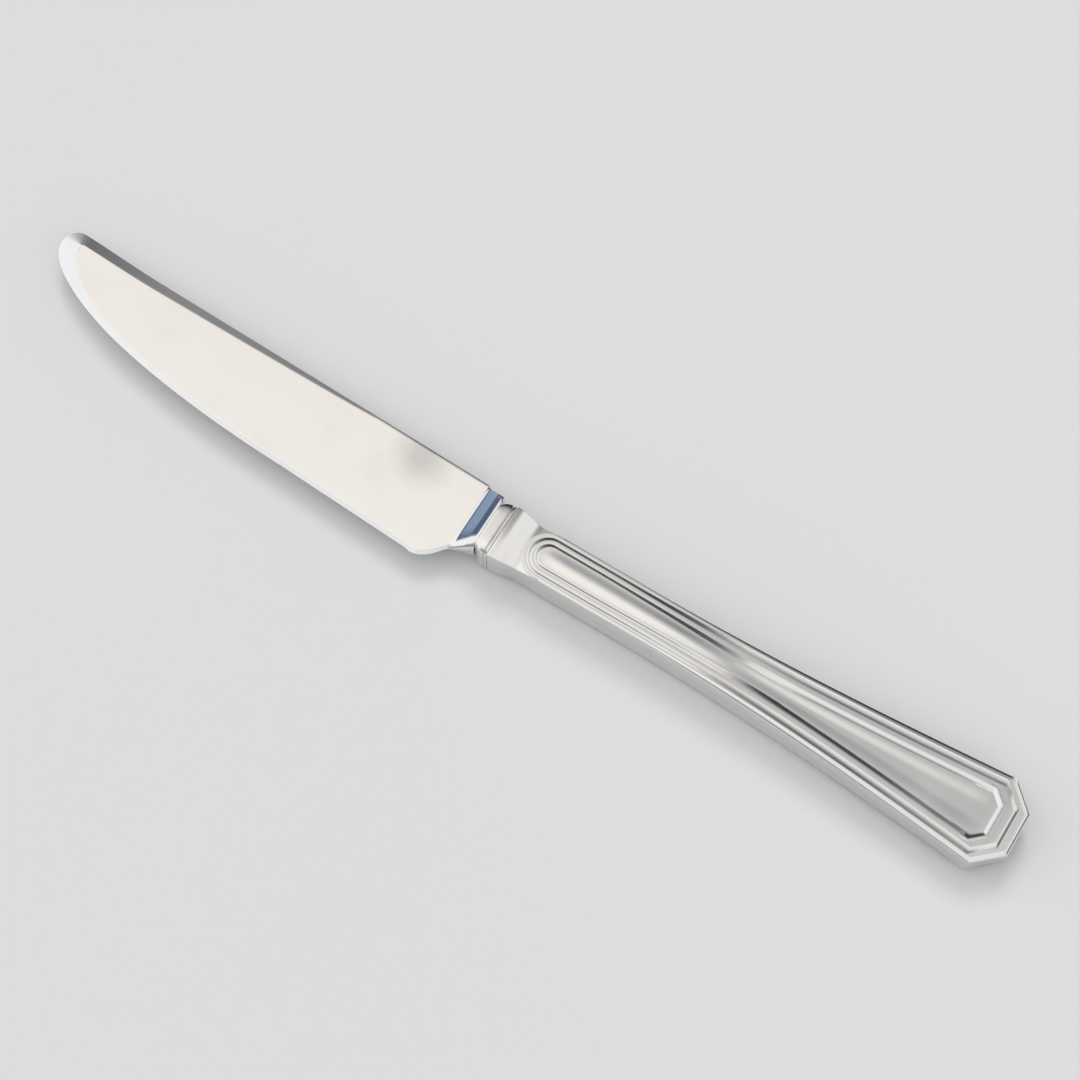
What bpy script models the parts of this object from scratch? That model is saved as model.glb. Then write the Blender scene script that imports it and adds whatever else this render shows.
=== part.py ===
"""Table knife with a hollow handle, lying on its side (metres, +Z up).

The blade points towards -X and the butt towards +X, the spine faces +Y and the cutting edge -Y,
and the knife's middle plane is level. It is modelled with X = 0 at the mouth of the handle and
Y = 0 on the handle's axis. At the end the whole knife is moved so that the origin lies under the
middle of its box.
"""

from dataclasses import dataclass
import math

import bmesh
import bpy

# Blade
BLADE_LENGTH = 0.1103
BLADE_WIDTH = 0.0203
HEEL_DROP = 0.0009
HEEL_ROUND = 0.0042
HEEL_ANGLE = math.radians(48.0)
ROOT_DEPTH = 0.0079
BELLY_LENGTH = 0.0700
BELLY_POWER = 0.47
TIP_DEPTH = 0.0038
TIP_ROUND = 0.0038
TIP_LIFT = 0.0006
TIP_LIFT_LENGTH = 0.0250
SPINE_OFFSET = 0.0083
SPINE_RISE = math.radians(1.6)
SPINE_THICKNESS = 0.0023
TIP_THICKNESS = 0.0016
EDGE_THICKNESS = 0.0003
BEVEL_THICKNESS = 0.0009
SPINE_BEVEL = 0.0022
SPINE_BEVEL_LENGTH = 0.0820
SPINE_BEVEL_LAND = 0.0008
SPINE_BEVEL_POWER = 0.72
SPINE_LAND_START = 0.15
SPINE_LAND_LIMIT = 0.9
EDGE_BEVEL_TIP = 0.0027
EDGE_BEVEL_HEEL = 0.0009
EDGE_BEVEL_FADE = 0.0180

# Bolster and tang, one forging with the blade
BOLSTER_LENGTH = 0.0050
BOLSTER_TOP_FRONT = 0.0080
BOLSTER_TOP_REAR = 0.0071
BOLSTER_LOW_REAR = 0.0059
BOLSTER_THICKNESS = 0.0094
BOLSTER_STEP = 0.00015
BOLSTER_SQUARENESS = 5.0
BOLSTER_OGEE = 0.65
TANG_LENGTH = 0.0580
TANG_TAPER = 0.70
TANG_SQUARENESS = 6.0

# Collar that closes the mouth of the handle
COLLAR_LENGTH = 0.0034
COLLAR_WIDTH = 0.0130
COLLAR_SQUARENESS = 7.0
COLLAR_FRONT_WIDTH = 0.0108
COLLAR_FRONT_THICKNESS = 0.0097
COLLAR_GROOVE = 0.00025
COLLAR_GROOVE_WIDTH = 0.00030
COLLAR_RIDGE = 0.0004
SPIGOT_LENGTH = 0.0026
SPIGOT_SQUARENESS = 3.2

# Outline of the handle
HANDLE_LENGTH = 0.1247
NECK_WIDTH = 0.0126
WAIST_WIDTH = 0.0109
WAIST_PLACE = 0.0104
GRIP_WIDTH = 0.0109
FLARE_START = 0.0320
FLARE_POWER = 1.8
BUTT_WIDTH = 0.0203
CLIP_LENGTH = 0.0058
END_WIDTH = 0.0096

# Thickness of the handle, and the sheet it is stamped from
GRIP_THICKNESS = 0.0106
BUTT_THICKNESS = 0.0060
TAPER_START = 0.0560
TAPER_POWER = 1.5
NECK_THICKNESS = 0.0096
WAIST_THICKNESS = 0.0070
NECK_DOME = 0.0004
SHEET = 0.0007
SEAM_GAP = 0.0003

# Stepped border: a shoulder and two bands round a panel that is raised at the grip and sunk at the butt
SHOULDER_STEP = 0.0004
GRIP_STEP = 0.0004
BUTT_STEP = 0.00025
STEP_TURN_START = 0.0440
STEP_TURN_END = 0.0800
BAND_TURN_START = 0.0250
BAND_TURN_END = 0.0750
RISER_RUN = 0.00025
FRONT_START = 0.0090
FRONT_OUTER_BAND = 0.0015
FRONT_INNER_BAND = 0.0016
SHOULDER_NECK = 0.00015
SHOULDER_BUTT = 0.00085
SHOULDER_END = 0.00085
OUTER_BAND_NECK = 0.00107
OUTER_BAND_BUTT = 0.00094
OUTER_BAND_END = 0.00181
INNER_BAND_NECK = 0.00150
INNER_BAND_BUTT = 0.00208
INNER_BAND_END = 0.00258
PANEL_DOME = 0.00010
PANEL_FLAT = 0.85

# Braze along the seam and cement round the tang
FIT_GAP = 0.0003
BRAZE_WIDTH = 0.0005
BRAZE_HEIGHT = 0.0012
CEMENT_OVER_TANG = 0.0006
CEMENT_BESIDE_TANG = 0.0010
CEMENT_PAST_TANG = 0.0040

# How finely the curves are cut
BLADE_STEPS = 30
TIP_STEPS = 6
HEEL_CROWDING = 1.35
BOLSTER_STEPS = 8
CEMENT_STEPS = 10
RING_STEPS = 28
SIDE_STEPS = 16
NECK_STEPS = 5
ARC_STEPS = 6

# Wall of a shell from the seam up to the shoulder: share of the shoulder's width, share of the height
WALL_PROFILE = ((0.0, 0.0), (0.08, 0.50), (0.30, 0.80), (0.62, 0.95), (1.0, 1.0))

# The collar stands level with the raised panel, so that the knife lies on both
COLLAR_THICKNESS = GRIP_THICKNESS

MOUTH = COLLAR_LENGTH + FIT_GAP
BLADE_ROOT = -BOLSTER_LENGTH
BLADE_TIP = BLADE_ROOT - BLADE_LENGTH
SPIGOT_END = COLLAR_LENGTH + SPIGOT_LENGTH
TANG_THICKNESS = WAIST_THICKNESS - 2.0 * (SHEET + CEMENT_OVER_TANG + 2.0 * FIT_GAP)
TANG_WIDTH = WAIST_WIDTH - 2.0 * (SHEET + BRAZE_WIDTH + CEMENT_BESIDE_TANG + 4.0 * FIT_GAP)
WELD = 1e-6


def clear_scene():
    """Remove every object that the scene starts with."""
    for thing in list(bpy.data.objects):
        bpy.data.objects.remove(thing, do_unlink=True)


def mix(start, end, share):
    """Value that lies a share of the way from start to end."""
    return start + (end - start) * share


def ease(share):
    """Share of a change that starts and ends gently."""
    share = min(max(share, 0.0), 1.0)
    return share * share * (3.0 - 2.0 * share)


def superellipse(angle, half_width, half_height, power):
    """Point of a rounded box: power 2 is an ellipse, and larger powers are squarer."""
    across = math.cos(angle)
    up = math.sin(angle)
    return (
        math.copysign(half_width * abs(across) ** (2.0 / power), across),
        math.copysign(half_height * abs(up) ** (2.0 / power), up),
    )


def ring(x, half_width, half_height, power, middle=0.0):
    """Closed rounded-box section across the knife, with a flat on each of its four sides."""
    half_step = math.pi / RING_STEPS
    reach = math.cos(half_step) ** (2.0 / power)
    points = []
    for step in range(RING_STEPS):
        angle = half_step * (2 * step + 1)
        y, z = superellipse(angle, half_width / reach, half_height / reach, power)
        points.append((x, middle + y, z))
    return points


def add_grid(bm, rows, closed=False):
    """Faces between neighbouring rows of points; closed rows join their ends."""
    made = [[bm.verts.new(point) for point in row] for row in rows]
    for near, far in zip(made, made[1:]):
        count = len(near)
        for i in range(count if closed else count - 1):
            j = (i + 1) % count
            bm.faces.new((near[i], near[j], far[j], far[i]))


def add_cap(bm, points):
    """Flat face across a closed row of points."""
    bm.faces.new([bm.verts.new(point) for point in points])


def steel(name, color, roughness):
    """Bare metal with a given polish."""
    return principled(name, color, roughness, 1.0)


def principled(name, color, roughness, metallic):
    """Material with one colour, roughness and metallic value."""
    material = bpy.data.materials.new(name)
    material.use_nodes = True
    shader = material.node_tree.nodes["Principled BSDF"]
    shader.inputs["Base Color"].default_value = (*color, 1.0)
    shader.inputs["Roughness"].default_value = roughness
    shader.inputs["Metallic"].default_value = metallic
    material.diffuse_color = (*color, 1.0)
    return material


def finish_object(name, bm, material, parent):
    """Close a mesh's seams, turn its faces outwards and put it under the knife's origin."""
    bmesh.ops.remove_doubles(bm, verts=bm.verts, dist=WELD)
    bmesh.ops.recalc_face_normals(bm, faces=bm.faces)
    mesh = bpy.data.meshes.new(name)
    bm.to_mesh(mesh)
    bm.free()
    mesh.shade_smooth()
    mesh.set_sharp_from_angle(angle=math.radians(30.0))
    mesh.materials.append(material)
    thing = bpy.data.objects.new(name, mesh)
    bpy.context.collection.objects.link(thing)
    thing.parent = parent
    return thing


# Blade


def spine_height(x):
    """Height of the spine's line above the handle's axis: a slight rise, and a lift near the tip."""
    run = BLADE_ROOT - x
    lift = TIP_LIFT * ease((run - BLADE_LENGTH + TIP_LIFT_LENGTH) / TIP_LIFT_LENGTH)
    return SPINE_OFFSET + run * math.tan(SPINE_RISE) + lift


def spine_outline(x):
    """Spine as it is seen, rounded off into the tip."""
    reach = min((x - BLADE_TIP) / TIP_ROUND, 1.0)
    return spine_height(x) - TIP_DEPTH * (1.0 - math.sqrt(max(0.0, 1.0 - (1.0 - reach) ** 2)))


def edge_line(x):
    """Cutting edge: a long belly that sweeps up to the tip, and a slight drop towards the heel."""
    run = x - BLADE_TIP
    if run < BELLY_LENGTH:
        belly = (1.0 - (1.0 - run / BELLY_LENGTH) ** 2) ** BELLY_POWER
        return spine_height(x) - mix(TIP_DEPTH, BLADE_WIDTH, belly)
    drop = HEEL_DROP * (run - BELLY_LENGTH) / (BLADE_LENGTH - BELLY_LENGTH)
    return spine_height(x) - BLADE_WIDTH - drop


def heel_line(x):
    """Straight ramp from the heel up to the blade's lower corner at the bolster."""
    return -ROOT_DEPTH + math.tan(HEEL_ANGLE) * (x - BLADE_ROOT)


def lower_outline(x):
    """Cutting edge and heel ramp, blended by a round of the heel's size."""
    gap = edge_line(x) - heel_line(x)
    share = min(max(0.5 + 0.5 * gap / HEEL_ROUND, 0.0), 1.0)
    return mix(heel_line(x), edge_line(x), share) + HEEL_ROUND * share * (1.0 - share) * 0.5


def blade_stations():
    """Stations from the tip to the root, close together round the tip and at the heel."""
    stations = []
    for i in range(TIP_STEPS):
        turn = 0.5 * math.pi * i / TIP_STEPS
        stations.append(BLADE_TIP + TIP_ROUND * (1.0 - math.cos(turn)))
    for i in range(BLADE_STEPS + 1):
        share = 1.0 - (1.0 - i / BLADE_STEPS) ** HEEL_CROWDING
        stations.append(mix(BLADE_TIP + TIP_ROUND, BLADE_ROOT, share))
    return stations


def face_half_thickness(x, y):
    """Half the blade's thickness on its face, thinning from spine to edge and from root to tip."""
    run = (x - BLADE_TIP) / BLADE_LENGTH
    spine = mix(TIP_THICKNESS, SPINE_THICKNESS, run)
    share = (y - edge_line(x)) / (spine_height(x) - edge_line(x))
    return 0.5 * mix(BEVEL_THICKNESS, spine, share)


def spine_bevel_width(x):
    """Width of the bevel along the spine, which dies out towards the bolster."""
    run = (BLADE_TIP + SPINE_BEVEL_LENGTH - x) / SPINE_BEVEL_LENGTH
    return EDGE_THICKNESS + SPINE_BEVEL * max(run, 0.0) ** SPINE_BEVEL_POWER


def edge_bevel_width(x):
    """Width of the ground bevel along the cutting edge, widest round the tip."""
    fade = math.exp(-(x - BLADE_TIP) / EDGE_BEVEL_FADE)
    return mix(EDGE_BEVEL_HEEL, EDGE_BEVEL_TIP, fade)


def blade_outline():
    """Outline from the root along the spine, round the tip and back, with each point's bevel."""
    stations = blade_stations()
    rim = []
    for x in reversed(stations[1:]):
        growth = ease((x - BLADE_TIP) / SPINE_BEVEL_LENGTH - SPINE_LAND_START)
        land = min(mix(SPINE_BEVEL_LAND, SPINE_THICKNESS, growth), SPINE_LAND_LIMIT * SPINE_THICKNESS)
        rim.append((x, spine_outline(x), spine_bevel_width(x), 0.5 * land))
    rim.append((BLADE_TIP, spine_outline(BLADE_TIP), EDGE_BEVEL_TIP, 0.5 * EDGE_THICKNESS))
    for x in stations[1:]:
        rim.append((x, lower_outline(x), edge_bevel_width(x), 0.5 * EDGE_THICKNESS))
    return rim


def inset_outline(rim):
    """Inner border of the bevels: each outline point moved inwards, square to the outline."""
    inner = []
    for i, (x, y, width, _) in enumerate(rim):
        before = rim[max(i - 1, 0)]
        after = rim[min(i + 1, len(rim) - 1)]
        along = (after[0] - before[0], after[1] - before[1])
        length = math.hypot(*along)
        side = (-along[1] / length, along[0] / length)
        if i in (0, len(rim) - 1):
            side = (0.0, math.copysign(1.0, side[1]))
        inner.append((x + side[0] * width, y + side[1] * width))
    return inner


def build_blade(parent):
    """Blade, bolster and tang as one forging: three forms joined into one body."""
    rim = blade_outline()
    inner = inset_outline(rim)
    bm = bmesh.new()
    half = len(rim) // 2
    for side in (1.0, -1.0):
        edge = [(x, y, side * land) for x, y, _, land in rim]
        face = [(x, y, side * face_half_thickness(x, y)) for x, y in inner]
        add_grid(bm, [edge, face])
        spine_side = face[: half + 1]
        edge_side = list(reversed(face[half:]))
        add_grid(bm, [spine_side[:-1], edge_side[:-1]])
        add_cap(bm, [spine_side[-2], spine_side[-1], edge_side[-2]])
    lands = [[(x, y, side * land) for x, y, _, land in rim] for side in (1.0, -1.0)]
    add_grid(bm, lands)
    add_cap(bm, root_section(rim, inner))
    steel_blade = steel("blade_steel", (0.80, 0.78, 0.74), 0.14)
    blade = finish_object("blade", bm, steel_blade, parent)
    for form in (build_bolster(parent, steel_blade), build_tang(parent, steel_blade)):
        join = blade.modifiers.new(form.name, "BOOLEAN")
        join.operation = "UNION"
        join.object = form
        form.hide_render = True
        form.display_type = "WIRE"
    return blade


def root_section(rim, inner):
    """Closed section of the blade where it enters the bolster."""
    top = [(rim[0][0], rim[0][1], rim[0][3]), (*inner[0], face_half_thickness(*inner[0]))]
    low = [(*inner[-1], face_half_thickness(*inner[-1])), (rim[-1][0], rim[-1][1], rim[-1][3])]
    upper = top + low
    return upper + [(x, y, -z) for x, y, z in reversed(upper)]


def build_bolster(parent, material):
    """Ramp that swells from the blade's root to the mouth of the handle."""
    start = BLADE_ROOT - BOLSTER_STEP
    rows = []
    for i in range(BOLSTER_STEPS + 1):
        share = i / BOLSTER_STEPS
        x = mix(start, -FIT_GAP, share)
        swell = mix(share, ease(share), BOLSTER_OGEE)
        top = mix(BOLSTER_TOP_FRONT, BOLSTER_TOP_REAR, share)
        low = -mix(ROOT_DEPTH + BOLSTER_STEP, BOLSTER_LOW_REAR, share)
        half_height = 0.5 * mix(SPINE_THICKNESS + 2.0 * BOLSTER_STEP, BOLSTER_THICKNESS, swell)
        rows.append(ring(x, 0.5 * (top - low), half_height, BOLSTER_SQUARENESS, 0.5 * (top + low)))
    bm = bmesh.new()
    add_grid(bm, rows, closed=True)
    add_cap(bm, rows[0])
    add_cap(bm, rows[-1])
    return finish_object("bolster_form", bm, material, parent)


def tang_section(x, gap):
    """Section of the tang, with a clearance round it."""
    taper = 0.5 * mix(1.0, TANG_TAPER, max(x, 0.0) / TANG_LENGTH)
    return ring(x, TANG_WIDTH * taper + gap, TANG_THICKNESS * taper + gap, TANG_SQUARENESS)


def build_tang(parent, material):
    """Tapered bar that runs from inside the bolster into the handle."""
    rows = [tang_section(x, 0.0) for x in (-0.5 * BOLSTER_LENGTH, 0.0, TANG_LENGTH)]
    bm = bmesh.new()
    add_grid(bm, rows, closed=True)
    add_cap(bm, rows[0])
    add_cap(bm, rows[-1])
    return finish_object("tang_form", bm, material, parent)


# Handle


def handle_half_width(x):
    """Half the width of the handle's outline, before the corners of the butt are clipped."""
    neck = mix(NECK_WIDTH, WAIST_WIDTH, ease((x - MOUTH) / (WAIST_PLACE - MOUTH)))
    slim = mix(neck, GRIP_WIDTH, ease((x - WAIST_PLACE) / (0.5 * GRIP_WIDTH)))
    run = max(0.0, (x - FLARE_START) / (HANDLE_LENGTH - CLIP_LENGTH - FLARE_START))
    return 0.5 * (slim + (BUTT_WIDTH - GRIP_WIDTH) * run ** FLARE_POWER)


def step_height(x):
    """Height of each step of the border: up towards the panel at the grip, down at the butt."""
    turn = ease((x - STEP_TURN_START) / (STEP_TURN_END - STEP_TURN_START))
    return mix(GRIP_STEP, -BUTT_STEP, turn)


def rim_height(x):
    """Height of the outer band above the middle plane."""
    run = max(0.0, (x - TAPER_START) / (HANDLE_LENGTH - TAPER_START))
    return mix(0.5 * GRIP_THICKNESS - 2.0 * GRIP_STEP, 0.5 * BUTT_THICKNESS, run ** TAPER_POWER)


def panel_height(x):
    """Height of the panel above the middle plane, two steps from the outer band."""
    return rim_height(x) + 2.0 * step_height(x)


def shoulder_height(x):
    """Height of the wall's top: the neck, its waist, and then a step below the outer band."""
    neck = 0.5 * mix(NECK_THICKNESS, WAIST_THICKNESS, ease((x - MOUTH) / (WAIST_PLACE - MOUTH)))
    grip = rim_height(x) - SHOULDER_STEP
    return mix(neck, grip, ease((x - WAIST_PLACE) / (0.5 * GRIP_WIDTH)))


def ceiling_height(x):
    """Height of the hollow under the panel."""
    return panel_height(x) - GRIP_STEP - SHEET


@dataclass(frozen=True)
class Contour:
    """A line that runs round the handle inside its outline, round at the front and clipped at the butt."""

    neck: float
    butt: float
    end: float
    front: float = FRONT_START

    def inside(self, distance):
        """The same line moved further in."""
        return self.within(distance, distance, distance, distance)

    def within(self, neck, butt, end, front):
        """A line that lies one band further in."""
        return Contour(self.neck + neck, self.butt + butt, self.end + end, self.front + front)

    def side(self, x):
        """Half the width between the two long sides."""
        turn = ease((x - BAND_TURN_START) / (BAND_TURN_END - BAND_TURN_START))
        return handle_half_width(x) - mix(self.neck, self.butt, turn)

    def clip(self, x):
        """Half the width between the two clipped corners."""
        slope = 0.5 * (BUTT_WIDTH - END_WIDTH) / CLIP_LENGTH
        inset = 0.5 * (self.butt + self.end) * math.hypot(1.0, slope)
        return 0.5 * END_WIDTH + slope * (HANDLE_LENGTH - x) - inset

    def corner(self):
        """Station where a long side meets its clipped corner."""
        low = 0.5 * HANDLE_LENGTH
        high = HANDLE_LENGTH - self.end
        for _ in range(40):
            middle = 0.5 * (low + high)
            if self.side(middle) < self.clip(middle):
                low = middle
            else:
                high = middle
        return low

    def tangent(self):
        """Station where the round front runs into the long sides."""
        return self.front + self.side(self.front + 0.5 * GRIP_WIDTH)

    def front_arc(self):
        """Quarter of the round front, from its middle to the +Y side."""
        x = self.tangent()
        points = []
        for i in range(ARC_STEPS):
            angle = 0.5 * math.pi * i / ARC_STEPS
            points.append((x - (x - self.front) * math.cos(angle), self.side(x) * math.sin(angle)))
        return points

    def long_side(self, start):
        """The +Y side from a station to its corner, and on to the end of the butt."""
        corner = self.corner()
        stations = [mix(start, corner, i / SIDE_STEPS) for i in range(SIDE_STEPS + 1)]
        points = [(x, self.side(x)) for x in stations]
        end = HANDLE_LENGTH - self.end
        return points + [(end, self.clip(end))]

    def loop(self):
        """The closed line: round front, +Y side, butt, -Y side."""
        half = self.front_arc() + self.long_side(self.tangent())
        return half + [(x, -y) for x, y in reversed(half[1:])]

    def open_track(self, start, steps, tangent):
        """The line from the mouth's +Y side round the butt to its -Y side, without the round front."""
        lead = [(x, self.side(x)) for x in (mix(start, tangent, i / steps) for i in range(steps))]
        half = lead + self.long_side(tangent)
        return half + [(x, -y) for x, y in reversed(half)]


OUTLINE = Contour(0.0, 0.0, 0.0)
SHOULDER = OUTLINE.within(SHOULDER_NECK, SHOULDER_BUTT, SHOULDER_END, 0.0)
OUTER_BAND = SHOULDER.inside(RISER_RUN)
INNER_FOOT = SHOULDER.within(OUTER_BAND_NECK, OUTER_BAND_BUTT, OUTER_BAND_END, FRONT_OUTER_BAND)
INNER_BAND = INNER_FOOT.inside(RISER_RUN)
PANEL_FOOT = INNER_FOOT.within(INNER_BAND_NECK, INNER_BAND_BUTT, INNER_BAND_END, FRONT_INNER_BAND)
PANEL = PANEL_FOOT.inside(RISER_RUN)


@dataclass(frozen=True)
class Skin:
    """One surface of a shell: the outside, or the inside one sheet further in."""

    depth: float
    side: float

    def at(self, contour, height):
        """Closed line of a contour at a height that depends on the station."""
        return [(x, y, self.side * height(x)) for x, y in contour.inside(self.depth).loop()]

    def ledge(self, x):
        """Height of the wall's top on this surface."""
        return shoulder_height(x) - self.depth

    def wall(self):
        """Rows from the seam up to the shoulder."""
        rows = []
        tangent = SHOULDER.inside(self.depth).tangent()
        for width, rise in WALL_PROFILE:
            row = Contour(width * SHOULDER.neck, width * SHOULDER.butt, width * SHOULDER.end)
            track = row.inside(self.depth).open_track(MOUTH, NECK_STEPS, tangent)
            seam = 0.5 * SEAM_GAP
            rows.append([(x, y, self.side * mix(seam, self.ledge(x), rise)) for x, y in track])
        return rows

    def neck_point(self, x, share):
        """Point on the neck's domed top, at a share of its half width."""
        half = SHOULDER.inside(self.depth).side(x)
        return (x, share * half, self.side * (self.ledge(x) + NECK_DOME * (1.0 - share * share)))

    def neck(self):
        """Rows across the neck's top, from the mouth to the round front of the border."""
        foot = SHOULDER.inside(self.depth)
        arc = foot.front_arc() + [(foot.tangent(), foot.side(foot.tangent()))]
        rows = []
        for i in range(NECK_STEPS + 1):
            row = []
            for j, (x, y) in enumerate(arc):
                mouth_share = math.sin(0.5 * math.pi * j / ARC_STEPS)
                share = mix(mouth_share, y / foot.side(x), i / NECK_STEPS)
                row.append(self.neck_point(mix(MOUTH, x, i / NECK_STEPS), share))
            rows.append([(x, -y, z) for x, y, z in reversed(row[1:])] + row)
        return rows

    def foot(self):
        """Closed line where the border rises out of the neck and the shoulder."""
        contour = SHOULDER.inside(self.depth)
        half = [self.neck_point(x, y / contour.side(x)) for x, y in contour.front_arc()]
        half += [(x, y, self.side * self.ledge(x)) for x, y in contour.long_side(contour.tangent())]
        return half + [(x, -y, z) for x, y, z in reversed(half[1:])]


def add_panel(bm, edge, rise):
    """Panel inside a closed line: flat along its middle, and falling by the rise to its edge."""
    upper, lower = edge_halves(edge)
    crest = [(x, y * PANEL_FLAT, z + rise) for x, y, z in upper]
    crest[-1] = (mix(upper[-1][0], upper[-2][0], 0.5), *crest[-1][1:])
    trough = [(x, -y, z) for x, y, z in crest]
    add_grid(bm, [upper[1:], crest[1:], trough[1:], lower[1:]])
    front = [upper[1], crest[1], trough[1], lower[1]]
    for near, far in zip(front, front[1:]):
        add_cap(bm, [edge[0], near, far])
    add_cap(bm, [upper[-1], crest[-1], trough[-1], lower[-1]])


def add_floor(bm, edge):
    """Level floor inside a closed line."""
    upper, lower = edge_halves(edge)
    add_grid(bm, [upper[1:], lower[1:]])
    add_cap(bm, [edge[0], upper[1], lower[1]])


def edge_halves(edge):
    """The two sides of a closed line, each from the middle of the front to the butt."""
    half = len(edge) // 2
    return edge[: half + 1], [edge[0]] + list(reversed(edge[half + 1:]))


def build_shell(name, side, parent):
    """Stamped half of the handle, with its stepped border and the hollow behind it."""
    bm = bmesh.new()
    outside = Skin(0.0, side)
    inside = Skin(SHEET, side)
    for skin in (outside, inside):
        add_grid(bm, skin.wall())
        add_grid(bm, skin.neck())

    add_grid(bm, [
        outside.foot(),
        outside.at(OUTER_BAND, rim_height),
        outside.at(INNER_FOOT, rim_height),
        outside.at(INNER_BAND, lambda x: rim_height(x) + step_height(x)),
        outside.at(PANEL_FOOT, lambda x: rim_height(x) + step_height(x)),
        outside.at(PANEL, lambda x: panel_height(x) - PANEL_DOME),
    ], closed=True)
    add_panel(bm, outside.at(PANEL, lambda x: panel_height(x) - PANEL_DOME), side * PANEL_DOME)

    pocket = inside.at(PANEL, ceiling_height)
    add_grid(bm, [inside.foot(), inside.at(PANEL_FOOT, inside.ledge), pocket], closed=True)
    add_floor(bm, pocket)

    outer_wall = outside.wall()
    inner_wall = inside.wall()
    add_grid(bm, [outer_wall[0], inner_wall[0]])
    add_grid(bm, [mouth_arch(outside, outer_wall), mouth_arch(inside, inner_wall)])
    return finish_object(name, bm, steel(f"{name}_steel", (0.78, 0.76, 0.73), 0.16), parent)


def mouth_arch(skin, wall):
    """Edge of a skin at the mouth, from one seam over the top to the other."""
    rise = [row[0] for row in wall]
    fall = [row[-1] for row in reversed(wall)]
    over = list(reversed(skin.neck()[0]))
    return rise + over[1:-1] + fall


def hollow_half_width(x):
    """Half the width inside the shells at the seam."""
    return OUTLINE.inside(SHEET).side(x)


def hollow_half_height(x):
    """Height inside a shell, under the shoulder and the panel."""
    return min(shoulder_height(x) - SHEET, ceiling_height(x))


def collar_ring(x, inset, taper):
    """Section of the collar: sunk by an inset, and narrowed by a share of its taper to the front."""
    half_width = 0.5 * mix(COLLAR_WIDTH, COLLAR_FRONT_WIDTH, taper) - inset
    half_height = 0.5 * mix(COLLAR_THICKNESS, COLLAR_FRONT_THICKNESS, taper) - inset
    return ring(x, half_width, half_height, COLLAR_SQUARENESS)


def build_collar(parent):
    """Cap on the mouth: a tapered band, a groove and a ridge, with a spigot and a slot for the tang."""
    groove_end = COLLAR_LENGTH - COLLAR_RIDGE
    groove_start = groove_end - COLLAR_GROOVE_WIDTH
    rows = [
        collar_ring(0.0, 0.0, 1.0),
        collar_ring(0.35 * groove_start, 0.0, 0.4),
        collar_ring(0.75 * groove_start, 0.0, 0.05),
        collar_ring(groove_start, 0.0, 0.0),
        collar_ring(groove_start + 0.3 * COLLAR_GROOVE_WIDTH, COLLAR_GROOVE, 0.0),
        collar_ring(groove_end - 0.3 * COLLAR_GROOVE_WIDTH, COLLAR_GROOVE, 0.0),
        collar_ring(groove_end, 0.0, 0.0),
        collar_ring(COLLAR_LENGTH - 0.4 * COLLAR_RIDGE, 0.0, 0.0),
        collar_ring(COLLAR_LENGTH, COLLAR_GROOVE, 0.0),
    ]
    spigot_width = hollow_half_width(SPIGOT_END) - FIT_GAP
    spigot_height = hollow_half_height(SPIGOT_END) - FIT_GAP
    rows += [ring(x, spigot_width, spigot_height, SPIGOT_SQUARENESS) for x in (COLLAR_LENGTH, SPIGOT_END)]
    rows += [tang_section(SPIGOT_END, FIT_GAP), tang_section(0.0, FIT_GAP), rows[0]]
    bm = bmesh.new()
    add_grid(bm, rows, closed=True)
    return finish_object("mouth_collar", bm, steel("collar_steel", (0.80, 0.78, 0.75), 0.15), parent)


def build_braze(parent):
    """Strip of braze along the inside of the seam, from the spigot round the butt and back."""
    outer = OUTLINE.inside(SHEET + FIT_GAP)
    inner = outer.inside(BRAZE_WIDTH)
    start = SPIGOT_END + FIT_GAP
    tangent = SHOULDER.tangent()
    top = 0.5 * BRAZE_HEIGHT
    section = ((outer, -top), (outer, top), (inner, top), (inner, -top))
    tracks = [[(x, y, z) for x, y in line.open_track(start, NECK_STEPS, tangent)] for line, z in section]
    bm = bmesh.new()
    add_grid(bm, tracks + [tracks[0]])
    add_cap(bm, [track[0] for track in tracks])
    add_cap(bm, [track[-1] for track in tracks])
    return finish_object("seam_braze", bm, steel("braze_alloy", (0.70, 0.64, 0.50), 0.45), parent)


def build_cement(parent):
    """Plug of cement in the front of the hollow, with the tang's place in it."""
    start = SPIGOT_END + FIT_GAP
    end = TANG_LENGTH + FIT_GAP + CEMENT_PAST_TANG
    outer = []
    for i in range(CEMENT_STEPS + 1):
        x = mix(start, end, i / CEMENT_STEPS)
        half_width = hollow_half_width(x) - BRAZE_WIDTH - 3.0 * FIT_GAP
        outer.append(ring(x, half_width, hollow_half_height(x) - FIT_GAP, SPIGOT_SQUARENESS))
    bore = [tang_section(TANG_LENGTH + FIT_GAP, FIT_GAP), tang_section(start, FIT_GAP)]
    bm = bmesh.new()
    add_grid(bm, bore + outer, closed=True)
    add_cap(bm, bore[0])
    add_cap(bm, outer[-1])
    return finish_object("tang_cement", bm, principled("cement", (0.62, 0.58, 0.50), 0.9, 0.0), parent)


def settle(parent, pieces):
    """Move the knife so that the origin lies under the middle of its box."""
    bpy.context.view_layer.update()
    corners = [corner for piece in pieces for corner in world_corners(piece)]
    low = [min(corner[axis] for corner in corners) for axis in range(3)]
    high = [max(corner[axis] for corner in corners) for axis in range(3)]
    parent.location = (-0.5 * (low[0] + high[0]), -0.5 * (low[1] + high[1]), -low[2])
    bpy.context.view_layer.update()


def world_corners(piece):
    """Corners of a piece as it stands with its modifiers."""
    view = piece.evaluated_get(bpy.context.evaluated_depsgraph_get())
    return [view.matrix_world @ vertex.co for vertex in view.data.vertices]


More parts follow.
